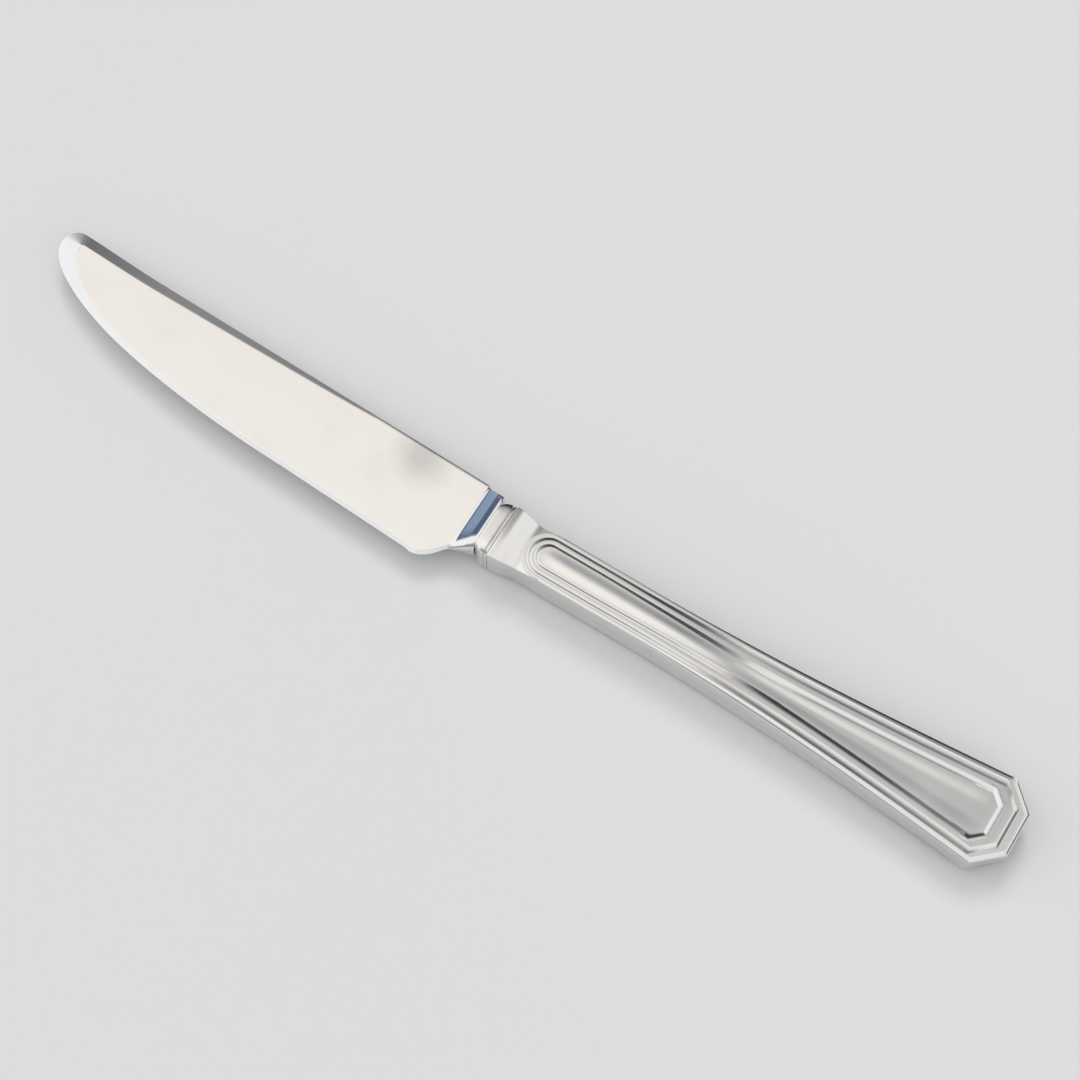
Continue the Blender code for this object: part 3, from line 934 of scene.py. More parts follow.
    def spine_bevel_width(self, x: float) -> float:
        """Width of the bevel along the spine, which dies out towards the bolster."""
        run = (self.tip + self.spine_bevel_length - x) / self.spine_bevel_length
        return self.edge_thickness + self.spine_bevel * max(run, 0.0) ** self.spine_bevel_power

    def edge_bevel_width(self, x: float) -> float:
        """Width of the ground bevel along the edge, widest round the tip."""
        fade = math.exp(-(x - self.tip) / self.edge_bevel_fade)
        return mix(self.edge_bevel_heel, self.edge_bevel_tip, fade)

    def stations(self) -> list[float]:
        """Stations from the tip to the root, close together round the tip and at the heel.

        Returns:
            The stations.
        """
        made = [self.tip + self.tip_round * (1.0 - math.cos(0.5 * math.pi * i / self.tip_steps))
                for i in range(self.tip_steps)]
        for share in spread(0.0, 1.0, self.steps):
            along = 1.0 - (1.0 - share) ** self.heel_crowding
            made.append(mix(self.tip + self.tip_round, self.root, along))
        return made

    def spine_rim(self, x: float) -> Spot:
        """Point of the finished outline on the spine, a hair inside the drawn one."""
        return (x, self.spine_outline(x) - self.shave * ease((x - self.tip) / self.tip_round))

    def edge_rim(self, x: float) -> Spot:
        """Point of the finished outline on the cutting edge, a hair inside the drawn one."""
        return (x, self.lower_outline(x) + self.shave * ease((x - self.tip) / self.tip_round))

    def spine_border(self, x: float) -> Spot:
        """Inner border of the spine's bevel at a station."""
        return (x, self.spine_rim(x)[1] - self.spine_bevel_width(x))

    def edge_border(self, x: float) -> Spot:
        """Inner border of the edge's bevel, square to the edge; upright at the root.

        Args:
            x: Station of the edge.

        Returns:
            The point of the border that belongs to it.
        """
        step = self.border_probe * self.tip_round
        before, after = max(x - step, self.tip), min(x + step, self.root)
        run, rise = after - before, self.edge_rim(after)[1] - self.edge_rim(before)[1]
        length, width = math.hypot(run, rise), self.edge_bevel_width(x)
        lean = min((self.root - x) / self.heel_round, 1.0)
        up = width * mix(1.0, run / length, lean)
        return (x - width * lean * rise / length, self.edge_rim(x)[1] + up)

    def over_spine(self, station: float) -> bool:
        """True if the edge's bevel would reach over the spine's bevel."""
        x, y = self.edge_border(station)
        return y > self.spine_border(x)[1]

    def borders(self, stations: Sequence[float]) -> tuple[list[Point], list[Point]]:
        """Inner borders of both bevels on the upper face, which start at one corner near the tip.

        Args:
            stations: Stations from the tip to the root.

        Returns:
            A point of the spine's border and one of the edge's border for each station.
        """
        corner = crossing(self.tip, self.tip + self.belly_length, self.over_spine)[1]
        start = self.edge_border(corner)
        spine = [self.spine_border(x) if x > start[0] else start for x in stations]
        edge = [self.edge_border(x) if x > corner else start for x in stations]
        return self.on_face(spine), self.on_face(edge)

    def spine_land(self, border: Point, x: float) -> float:
        """Half the thickness that the bevel leaves on the spine; it thins away round the tip.

        Args:
            border: Point of the bevel's inner border.
            x: Station along the knife.

        Returns:
            The half thickness.
        """
        run = x - self.tip
        slope = math.tan(mix(*self.spine_bevel_angles, ease(run / self.spine_bevel_turn)))
        land = max(border[2] - slope * self.spine_bevel_width(x), 0.5 * self.edge_thickness)
        return mix(0.5 * self.edge_thickness, land, ease(run / self.tip_round))

    def leaf(self, seat: Seat) -> bpy.types.Object:
        """Thin blade with a bevel along the spine and another along the edge.

        Args:
            seat: Place of the knife's own frame.

        Returns:
            The closed leaf.
        """
        stations = self.stations()
        borders = self.borders(stations)
        spine_rim = [(*self.spine_rim(x), self.spine_land(p, x))
                     for x, p in zip(stations, borders[0])]
        edge_rim = [(*self.edge_rim(x), 0.5 * self.edge_thickness) for x in stations]
        mesh = PieceMesh()
        section = []
        for rim, border in zip((spine_rim, edge_rim), borders):
            rows = [[tuple(mix(a, b, share) for a, b in zip(p, q)) for p, q in zip(rim, border)]
                    for share in self.bevel_shares]
            section.append([row[-1] for row in rows])
            for side in Side:
                mesh.grid(on_side(rows, side), marks=self.bevel_wear)
            mesh.grid([on_side([rim], side)[0] for side in Side])
        face = []
        for share in self.face_shares:
            face.append(self.on_face((mix(p[0], q[0], share), mix(p[1], q[1], share))
                                     for p, q in zip(*borders)))
        for side in Side:
            mesh.grid(on_side(face, side))
        root = section[0] + [row[-1] for row in face[1:-1]] + list(reversed(section[1]))
        mesh.cap(root + on_side([reversed(root)], Side.LOWER)[0])
        return mesh.piece("blade_dressed", seat)

    def bolster_slope(self, share: float) -> float:
        """Slope of the bolster: a ramp, a softer chamfer behind it, and the crest.

        Args:
            share: Share of the way from the blade's root to the mouth.

        Returns:
            Share of the steepest slope.
        """
        start, end = self.bolster_ramp
        chamfer = mix(1.0, self.bolster_chamfer, ease((share - start) / (end - start)))
        crest = ease((1.0 - share) / self.bolster_crest)
        return ease(share / self.bolster_fillet) * chamfer * crest

    def bolster(self, seat: Seat) -> bpy.types.Object:
        """Ramp that swells from the blade's root to the mouth of the handle.

        Args:
            seat: Place of the knife's own frame.

        Returns:
            The closed ramp.
        """
        shares = spread(0.0, 1.0, self.bolster_steps)
        slopes = [self.bolster_slope(share) for share in shares]
        rows = []
        swollen = 0.0
        for share, slope in zip(shares, slopes):
            swollen = min(swollen + slope / sum(slopes), 1.0)
            corner = max(0.0, 1.0 - (1.0 - share) / self.bolster_crest) ** 2
            top = mix(self.bolster_top_front, self.bolster_top_rear, share)
            top -= self.bolster_corner * corner
            low = -mix(self.root_depth + self.bolster_step, self.bolster_low_rear, share)
            thin = self.spine_thickness + 2.0 * self.bolster_step
            thick = mix(thin, self.bolster_thickness, swollen)
            x = mix(self.root - self.bolster_step, -HAIRLINE, share)
            rows.append(ring(x, 0.5 * (top - low), 0.5 * thick, self.bolster_squareness,
                             0.5 * (top + low), self.bolster_low_squareness))
        mesh = PieceMesh()
        mesh.tube(rows)
        return mesh.piece("bolster_form", seat)

    def tang_section(self, x: float, gap: float) -> list[Point]:
        """Section of the tang with a clearance round it.

        Args:
            x: Its station.
            gap: The clearance.

        Returns:
            The points of the section in order.
        """
        taper = 0.5 * mix(1.0, self.tang_taper, max(x, 0.0) / self.tang_length)
        return ring(x, self.tang_width * taper + gap, self.tang_thickness * taper + gap,
                    self.tang_squareness)

    def tang(self, seat: Seat) -> bpy.types.Object:
        """Tapered bar that runs from inside the bolster into the handle.

        Args:
            seat: Place of the knife's own frame.

        Returns:
            The closed bar.
        """
        stations = (-0.5 * self.bolster_length, 0.0, self.tang_length)
        mesh = PieceMesh()
        mesh.tube([self.tang_section(x, 0.0) for x in stations])
        return mesh.piece("tang_form", seat)

    def build(self, seat: Seat) -> bpy.types.Object:
        """The forging: leaf, bolster and tang joined into one body.

        Args:
            seat: Place of the knife's own frame.

        Returns:
            The piece.
        """
        piece = self.leaf(seat)
        forms = [self.bolster(seat), self.tang(seat)]
        for form in forms:
            join = piece.modifiers.new(form.name, "BOOLEAN")
            join.operation = "UNION"
            join.solver = "EXACT"
            join.object = form
        graph = bpy.context.evaluated_depsgraph_get()
        joined = bpy.data.meshes.new_from_object(piece.evaluated_get(graph))
        piece.modifiers.clear()
        piece.data = joined
        joined.set_sharp_from_angle(angle=SHARP_ANGLE)
        for form in forms:
            bpy.data.objects.remove(form, do_unlink=True)
        return piece


@dataclass(frozen=True)
class HandleForm:
    """Outline, thickness and stepped border of the handle."""

    length: float = 0.12469
    mouth: float = 0.0034 + HAIRLINE
    neck_width: float = 0.0126
    waist_width: float = 0.0109
    waist_place: float = 0.0104
    grip_width: float = 0.0109
    flare_start: float = 0.0320
    flare_power: float = 1.8
    butt_width: float = 0.0203
    clip_length: float = 0.0058
    end_width: float = 0.0096
    crest: float = 0.0053
    butt_rim: float = 0.00285
    taper_start: float = 0.0560
    taper_power: float = 1.5
    neck_half: float = 0.0048
    waist_half: float = 0.0035
    neck_dome: float = 0.00024
    sheet: float = 0.0007
    ceiling_drop: float = 0.0004
    shoulder_step: float = 0.00002
    shoulder_drop: Spot = (0.00080, 0.00030)
    drop_turn: Spot = (0.0600, 0.1120)
    outer_turn: Spot = (0.0380, 0.0640)
    step_turn: Spot = (0.0440, 0.0800)
    band_turn: Spot = (0.0250, 0.0750)
    dome_turn: Spot = (0.0430, 0.0640)
    hollow_turn: Spot = (0.0550, 0.0800)
    outer_step: Spot = (0.00028, -0.00005)
    panel_step: Spot = (0.00028, -0.00042)
    panel_dome: Spot = (0.000105, -0.00002)
    panel_hollow: Spot = (0.0, -0.00004)
    band_bead: Spot = (0.000012, 0.0)
    end_outer_step: float = 0.00015
    end_shallow: float = 0.40
    end_bead: float = 0.00011
    end_outer_turn: Spot = (0.1165, 0.1205)
    end_panel_turn: Spot = (0.1060, 0.1190)
    front: float = 0.0090

    def along_neck(self, x: float, mouth: float, waist: float, grip: float) -> float:
        """Value that goes over from the one at the mouth to the waist's, and then to the grip's.

        Args:
            x: Station along the knife.
            mouth: Value at the mouth.
            waist: Value at the waist.
            grip: Value at the grip.

        Returns:
            The value at the station.
        """
        near = mix(mouth, waist, ease((x - self.mouth) / (self.waist_place - self.mouth)))
        return mix(near, grip, ease((x - self.waist_place) / (0.5 * self.grip_width)))

    def half_width(self, x: float) -> float:
        """Half the width of the outline, before the corners of the butt are clipped.

        Args:
            x: Station along the knife.

        Returns:
            The half width.
        """
        slim = self.along_neck(x, self.neck_width, self.waist_width, self.grip_width)
        run = max(0.0, (x - self.flare_start) / (self.length - self.clip_length - self.flare_start))
        return 0.5 * (slim + (self.butt_width - self.grip_width) * run ** self.flare_power)

    def turned(self, x: float, values: Spot, turn: Spot) -> float:
        """Value that goes over from the first one to the second, between two stations."""
        return mix(*values, ease((x - turn[0]) / (turn[1] - turn[0])))

    def rim(self, x: float) -> float:
        """Height of the outer band above the middle plane.

        Args:
            x: Station along the knife.

        Returns:
            The height.
        """
        grip = self.crest - self.panel_dome[0] - self.outer_step[0] - self.panel_step[0]
        run = max(0.0, (x - self.taper_start) / (self.length - self.taper_start))
        return mix(grip, self.butt_rim, run ** self.taper_power)

    def inner_band(self, x: float) -> float:
        """Height of the inner band, which stands above the outer one again at the end."""
        step = self.turned(x, self.outer_step, self.outer_turn)
        return self.rim(x) + self.turned(x, (step, self.end_outer_step), self.end_outer_turn)

    def panel_edge(self, x: float) -> float:
        """Height of the panel's edge, which is less deep at the end."""
        shallow = self.turned(x, (1.0, self.end_shallow), self.end_panel_turn)
        return self.inner_band(x) + self.turned(x, self.panel_step, self.step_turn) * shallow

    def bead(self, x: float) -> float:
        """How much higher a band lies along its middle than at its edges."""
        return self.turned(x, self.band_bead, self.band_turn)

    def dome(self, x: float) -> float:
        """Rise of the panel's middle: a dome at the grip that goes over to a hollow."""
        hollow = self.turned(x, self.panel_hollow, self.hollow_turn)
        return self.turned(x, self.panel_dome, self.dome_turn) + hollow

    def shoulder(self, x: float) -> float:
        """Height of the wall's top: the neck, its waist, and then just below the outer band."""
        grip = self.rim(x) - self.shoulder_step
        return self.along_neck(x, self.neck_half, self.waist_half, grip)

    def drop(self, x: float) -> float:
        """Height of the rounding at the top of the wall."""
        return self.turned(x, self.shoulder_drop, self.drop_turn)

    def ceiling(self, x: float) -> float:
        """Height of the hollow under the panel."""
        return self.panel_edge(x) - self.ceiling_drop - self.sheet


@dataclass(frozen=True)
class Contour:
    """A line round the handle inside its outline, round at the front and clipped at the butt."""

    form: HandleForm
    neck: float = 0.0
    butt: float = 0.0
    end: float = 0.0
    front: float = 0.0

    def within(self, neck: float, butt: float, end: float, front: float) -> "Contour":
        """A line that lies one band further in."""
        return Contour(self.form, self.neck + neck, self.butt + butt, self.end + end,
                       self.front + front)

    def inside(self, distance: float) -> "Contour":
        """The same line moved further in."""
        return self.within(distance, distance, distance, distance)

    def toward(self, other: "Contour", share: float) -> "Contour":
        """A line on the way to another one.

        Args:
            other: The other line.
            share: Share of the way.

        Returns:
            The line.
        """
        return Contour(
            self.form, mix(self.neck, other.neck, share), mix(self.butt, other.butt, share),
            mix(self.end, other.end, share), mix(self.front, other.front, share))

    def side(self, x: float) -> float:
        """Half the width between the two long sides."""
        inset = self.form.turned(x, (self.neck, self.butt), self.form.band_turn)
        return self.form.half_width(x) - inset

    def clip(self, x: float) -> float:
        """Half the width between the two clipped corners.

        Args:
            x: Station along the knife.

        Returns:
            The half width.
        """
        form = self.form
        slope = 0.5 * (form.butt_width - form.end_width) / form.clip_length
        inset = 0.5 * (self.butt + self.end) * math.hypot(1.0, slope)
        return 0.5 * form.end_width + slope * (form.length - x) - inset

    def start(self) -> float:
        """Station of the round front."""
        return self.form.front + self.front

    def stop(self) -> float:
        """Station of the straight end."""
        return self.form.length - self.end

    def corner(self) -> float:
        """Station where a long side meets its clipped corner."""
        start = 0.5 * self.form.length
        return crossing(start, self.stop(), lambda x: self.side(x) < self.clip(x))[0]

    def tangent(self) -> float:
        """Station where the round front runs into the long sides."""
        return self.start() + self.side(self.start() + 0.5 * self.form.grip_width)

    def front_arc(self) -> list[Spot]:
        """Quarter of the round front, from its middle to the +Y side.

        Returns:
            Its points, without the last one.
        """
        x = self.tangent()
        turns = [0.5 * math.pi * i / ARC_STEPS for i in range(ARC_STEPS)]
        return [(x - (x - self.start()) * math.cos(a), self.side(x) * math.sin(a)) for a in turns]

    def long_side(self, start: float) -> list[Spot]:
        """The +Y side from a station to its corner, and along the clip to the end.

        Args:
            start: The station.

        Returns:
            Its points.
        """
        corner, stop = self.corner(), self.stop()
        points = [(x, self.side(x)) for x in spread(start, corner, SIDE_STEPS)]
        return points + [(x, self.clip(x)) for x in spread(corner, stop, CLIP_STEPS)[1:]]

    def _both(self, half: Sequence[Spot], first: int) -> list[Spot]:
        """A half line, the straight end and the other half.

        Args:
            half: The +Y half, up to the end.
            first: Index of the first of its points that has a mirror image.

        Returns:
            The whole line.
        """
        stop, reach = half[-1]
        end = [(stop, reach * share) for share in ACROSS[1:-1]]
        return list(half) + end + [(x, -y) for x, y in reversed(half[first:])]

    def loop(self) -> list[Spot]:
        """The closed line: round front, +Y side, end, -Y side."""
        return self._both(self.front_arc() + self.long_side(self.tangent()), 1)

    def open_track(self, start: float, tangent: float) -> list[Spot]:
        """The line from the mouth's +Y side round the butt to its -Y side, without the front."""
        lead = [(x, self.side(x)) for x in spread(start, tangent, NECK_STEPS)[:-1]]
        return self._both(lead + self.long_side(tangent), 0)


@dataclass(frozen=True)
class Border:
    """Lines of the stepped border, from the shoulder in to the panel."""

    form: HandleForm
    shoulder_inset: Inset = (0.00015, 0.00085, 0.00085, 0.0)
    outer_band: Inset = (0.00120, 0.00107, 0.00194, 0.0016)
    inner_band: Inset = (0.00150, 0.00240, 0.00280, 0.0016)
    rim_round: float = 0.00016
    outer_reach: Inset = (0.00028, 0.00085, 0.00038, 0.00050)
    panel_outer_reach: Inset = (0.00028, 0.00095, 0.00040, 0.00050)
    panel_inner_reach: Inset = (0.00028, 0.00045, 0.00085, 0.00050)
    foot_power: float = 3.0
    crevice_power: float = 6.0
    brow_power: float = 1.5
    bead_power: float = 0.63
    foot_end: Spot = (0.1150, 0.1170)
    groove_depth: float = 0.00010
    groove_turn: Spot = (0.0450, 0.0850)

    def around(self, foot: Contour, outward: Inset, inward: Inset) -> tuple[Contour, Contour]:
        """Lines that lie a reach outside and a reach inside the middle of a step."""
        return foot.within(*(-reach for reach in outward)), foot.within(*inward)

    @property
    def shoulder(self) -> Contour:
        """Line where the border rises out of the wall."""
        return Contour(self.form).within(*self.shoulder_inset)

    @property
    def first_foot(self) -> Contour:
        """Middle of the step or groove between the two bands."""
        return self.shoulder.within(*self.outer_band)

    @property
    def second_foot(self) -> Contour:
        """Middle of the step between the inner band and the panel."""
        return self.first_foot.within(*self.inner_band)

    @property
    def outer_step(self) -> tuple[Contour, Contour]:
        """Lines where the step or groove between the bands starts and ends."""
        return self.around(self.first_foot, self.outer_reach, self.outer_reach)

    @property
    def panel_step(self) -> tuple[Contour, Contour]:
        """Lines where the step to the panel starts and ends."""
        return self.around(self.second_foot, self.panel_outer_reach, self.panel_inner_reach)


@dataclass(frozen=True)
class Shell:
    """One stamped half of the handle."""

    side: Side
    form: HandleForm
    border: Border
    seam: float = 0.5 * HAIRLINE
    wall_steps: int = 12
    riser_shares: tuple[float, ...] = (
        0.0, 0.08, 0.18, 0.28, 0.38, 0.47, 0.56, 0.65, 0.74, 0.83, 0.92, 1.0)
    tread_shape: tuple[Spot, ...] = ((0.12, 0.0), (0.50, 1.0), (0.88, 0.0))
    crown_middle: Spot = (0.18, 0.42)
    crown_turn: Spot = (0.0600, 0.1200)
    crown_soft: float = 0.18
    crown_flat: float = 0.50
    crown_steps: int = 400

    def ledge(self, x: float, depth: float) -> float:
        """Height of the wall's top on a skin at a depth."""
        return self.form.shoulder(x) - depth

    def wall(self, depth: float) -> Rows:
        """Rows from the seam up to the shoulder.

        Args:
            depth: How far the skin lies inside the outside.

        Returns:
            The rows.
        """
        form, outline = self.form, Contour(self.form)
        tangent = self.border.shoulder.inside(depth).tangent()
        rows = []
        for share in (0.0, 0.5):
            track = outline.inside(depth).open_track(form.mouth, tangent)
            rows.append([(x, y, mix(self.seam, self.ledge(x, depth) - form.drop(x), share))
                         for x, y in track])
        for turn in spread(0.0, 0.5 * math.pi, self.wall_steps):
            line = outline.toward(self.border.shoulder, 1.0 - math.cos(turn))
            fall = 1.0 - math.sin(turn)
            track = line.inside(depth).open_track(form.mouth, tangent)
            rows.append([(x, y, self.ledge(x, depth) - form.drop(x) * fall) for x, y in track])
        return rows

    def neck_point(self, x: float, share: float, depth: float) -> Point:
        """Point on the neck's domed top, at a share of its half width."""
        half = self.border.shoulder.inside(depth).side(x)
        return (x, share * half, self.ledge(x, depth) + self.form.neck_dome * (1.0 - share * share))

    def neck(self, depth: float) -> Rows:
        """Rows across the neck's top, from the mouth to the round front of the border.

        Args:
            depth: How far the skin lies inside the outside.

        Returns:
            The rows.
        """
        foot = self.border.shoulder.inside(depth)
        arc = foot.front_arc() + [(foot.tangent(), foot.side(foot.tangent()))]
        rows = []
        for along in spread(0.0, 1.0, NECK_STEPS):
            row = []
            for j, (x, y) in enumerate(arc):
                share = mix(math.sin(0.5 * math.pi * j / ARC_STEPS), y / foot.side(x), along)
                row.append(self.neck_point(mix(self.form.mouth, x, along), share, depth))
            rows.append([(x, -y, z) for x, y, z in reversed(row[1:])] + row)
        return rows

    def foot(self, depth: float) -> list[Point]:
        """Closed line where the border rises out of the neck and the shoulder.

        Args:
            depth: How far the skin lies inside the outside.

        Returns:
            The points of the line.
        """
        contour = self.border.shoulder.inside(depth)
        points = []
        tangent = contour.tangent()
        for x, y in contour.loop():
            if x < tangent:
                points.append(self.neck_point(x, y / contour.side(x), depth))
            else:
                points.append((x, y, self.ledge(x, depth)))
        return points

    def at(self, contour: Contour, height: Height) -> list[Point]:
        """Closed line of a contour at a height that depends on the station."""
        return [(x, y, height(x)) for x, y in contour.loop()]

    def groove(self, x: float) -> float:
        """Depth of the groove that the outer step turns into towards the butt."""
        depth = self.form.turned(x, (0.0, self.border.groove_depth), self.border.groove_turn)
        return self.form.turned(x, (depth, 0.0), self.form.end_outer_turn)

    def brow(self, share: float) -> float:
        """Share of a step that is steep at its foot and rounds off gently to its top."""
        return 1.0 - (1.0 - share) ** self.border.brow_power

    def band_step(self, x: float, share: float) -> Spot:
        """Soft step between the bands, which turns into a groove towards the butt.

        Args:
            x: Station along the knife.
            share: Share of the way across the step.

        Returns:
            Its height and its wear.
        """
        form, sink = self.form, swell(share)
        last = form.turned(x, (0.0, 1.0), form.end_outer_turn)
        rise = mix(ease(share), self.brow(share), last)
        height = mix(form.rim(x), form.inner_band(x), rise) - self.groove(x) * sink
        return height, CREVICE * mix(sink, (1.0 - share) ** 2, last)

    def panel_step(self, x: float, share: float) -> Spot:
        """Step to the panel, steepest near its foot at the butt, with a low bead at the end.

        Args:
            x: Station along the knife.
            share: Share of the way across the step.

        Returns:
            Its height and its wear.
        """
        form, border = self.form, self.border
        butt = form.turned(x, (0.0, 1.0), form.step_turn)
        last = form.turned(x, (0.0, 1.0), border.foot_end)
        rise = mix(mix(ease(share), share ** border.foot_power, butt), ease(share), last)
        bead = form.end_bead * swell(share ** border.bead_power)
        height = mix(form.inner_band(x), form.panel_edge(x), rise) + bead * last
        sides = mix(swell(share), share ** border.crevice_power, butt)
        return height, CREVICE * mix(sides, (1.0 - share) ** 2, last)

    def riser(self, lines: tuple[Contour, Contour],
              step: Callable[[float, float], Spot]) -> tuple[Rows, list[Wear]]:
        """Rows of a step.

        Args:
            lines: Lines where it starts and ends.
            step: Its height and wear, by the station and the share of the way across.

        Returns:
            The rows and their wear.
        """
        rows, marks = [], []
        for share in self.riser_shares:
            line = lines[0].toward(lines[1], share).loop()
            made = [step(x, share) for x, _ in line]
            rows.append([(x, y, height) for (x, y), (height, _) in zip(line, made)])
            marks.append([wear for _, wear in made])
        return rows, marks

    def tread(self, start: Contour, end: Contour, height: Height) -> Rows:
        """Rows that keep a band level, but for its bead, close up to the steps beside it.

        Args:
            start: The band's outer line.
            end: Its inner line.
            height: Its height at each station.

        Returns:
            The rows.
        """
        bead = self.form.bead
        return [self.at(start.toward(end, share), lambda x: height(x) + bead(x) * rise)
                for share, rise in self.tread_shape]

    def rim_rows(self) -> tuple[Rows, list[Wear]]:
        """Rows from the shoulder over the rounded rim onto the outer band.

        Returns:
            The rows and their wear.
        """
        foot = self.foot(0.0)
        rows, marks = [], []
        for share in self.riser_shares:
            line = self.border.shoulder.inside(share * self.border.rim_round).loop()
            rows.append([(x, y, mix(below[2], self.form.rim(x), ease(share)))
                         for (x, y), below in zip(line, foot)])
            marks.append(RUBBED * ease(share))
        return rows, marks

    def crown(self, x: float) -> list[float]:
        """Share of the panel's rise at each place across it: one in the middle, none at the edges.

        Args:
            x: Station of the section.

        Returns:
            The shares, for the places in ACROSS.
        """
        middle = self.form.turned(x, self.crown_middle, self.crown_turn)
        slopes = []
        for share in spread(0.0, 1.0, self.crown_steps):
            start = ease((share - middle + self.crown_soft) / (2.0 * self.crown_soft))
            slopes.append(start * (1.0 - ease((share - self.crown_flat) / (1.0 - self.crown_flat))))
        heights = [0.0]
        for slope in reversed(slopes):
            heights.append(heights[-1] + slope)
        heights = [height / heights[-1] for height in reversed(heights)]
        return [heights[round(abs(t) * (len(heights) - 1))] for t in ACROSS]

    def panel_rows(self, edge: Sequence[Point], dome: Height) -> Rows:
        """Rows across a panel inside a closed line.

        Args:
            edge: The closed line.
            dome: Rise of the panel's middle at each station.

        Returns:
            One row for each station, from the +Y side to the -Y side.
        """
        form = self.form
        half = ARC_STEPS + SIDE_STEPS + CLIP_STEPS + 1
        front, stop = edge[0][0], edge[half - 1][0]
        rows = []
        for x, y, z in edge[:half]:
            ends = ease((x - front) / (0.5 * form.grip_width)) * ease((stop - x) / form.clip_length)
            rows.append([(x, y * place, z + dome(x) * ends * rise)
                         for place, rise in zip(ACROSS, self.crown(x))])
        return rows

    def outside(self) -> tuple[Rows, list[Wear]]:
        """Rows of the border from the shoulder to the panel's edge.

        Returns:
            The rows and their wear.
        """
        form, border = self.form, self.border
        rows, marks = self.rim_rows()
        outer = self.riser(border.outer_step, self.band_step)
        panel = self.riser(border.panel_step, self.panel_step)
        level = [0.0] * len(self.tread_shape)
        rim = border.shoulder.inside(border.rim_round)
        rows += self.tread(rim, border.outer_step[0], form.rim) + outer[0]
        rows += self.tread(border.outer_step[1], border.panel_step[0], form.inner_band) + panel[0]
        return rows, marks + level + outer[1] + level + panel[1]

    def build(self, name: str, seat: Seat) -> bpy.types.Object:
        """The shell: its outside, its inside, and the rims between them.

        Args:
            name: Name of the piece.
            seat: Place of the knife's own frame.

        Returns:
            The piece.
        """
        form, border, side = self.form, self.border, self.side
        skins = [(self.wall(depth), self.neck(depth)) for depth in (0.0, form.sheet)]
        mesh = PieceMesh()
        for wall, neck in skins:
            mesh.grid(on_side(wall, side))
            mesh.grid(on_side(neck, side))
        rows, marks = self.outside()
        mesh.grid(on_side(rows, side), closed=True, marks=marks)
        mesh.grid(on_side(self.panel_rows(rows[-1], form.dome), side))

        pocket = self.at(border.panel_step[1].inside(form.sheet), form.ceiling)
        shelf = self.at(border.second_foot.inside(form.sheet), lambda x: self.ledge(x, form.sheet))
        mesh.grid(on_side([self.foot(form.sheet), shelf, pocket], side), closed=True)
        mesh.grid(on_side(self.panel_rows(pocket, lambda x: 0.0), side))

        mesh.grid(on_side([wall[0] for wall, _ in skins], side))
        arches = []
        for wall, neck in skins:
            over = list(reversed(neck[0]))[1:-1]
            arches.append([row[0] for row in wall] + over + [row[-1] for row in reversed(wall)])
        mesh.grid(on_side(arches, side))
        return mesh.piece(name, seat)


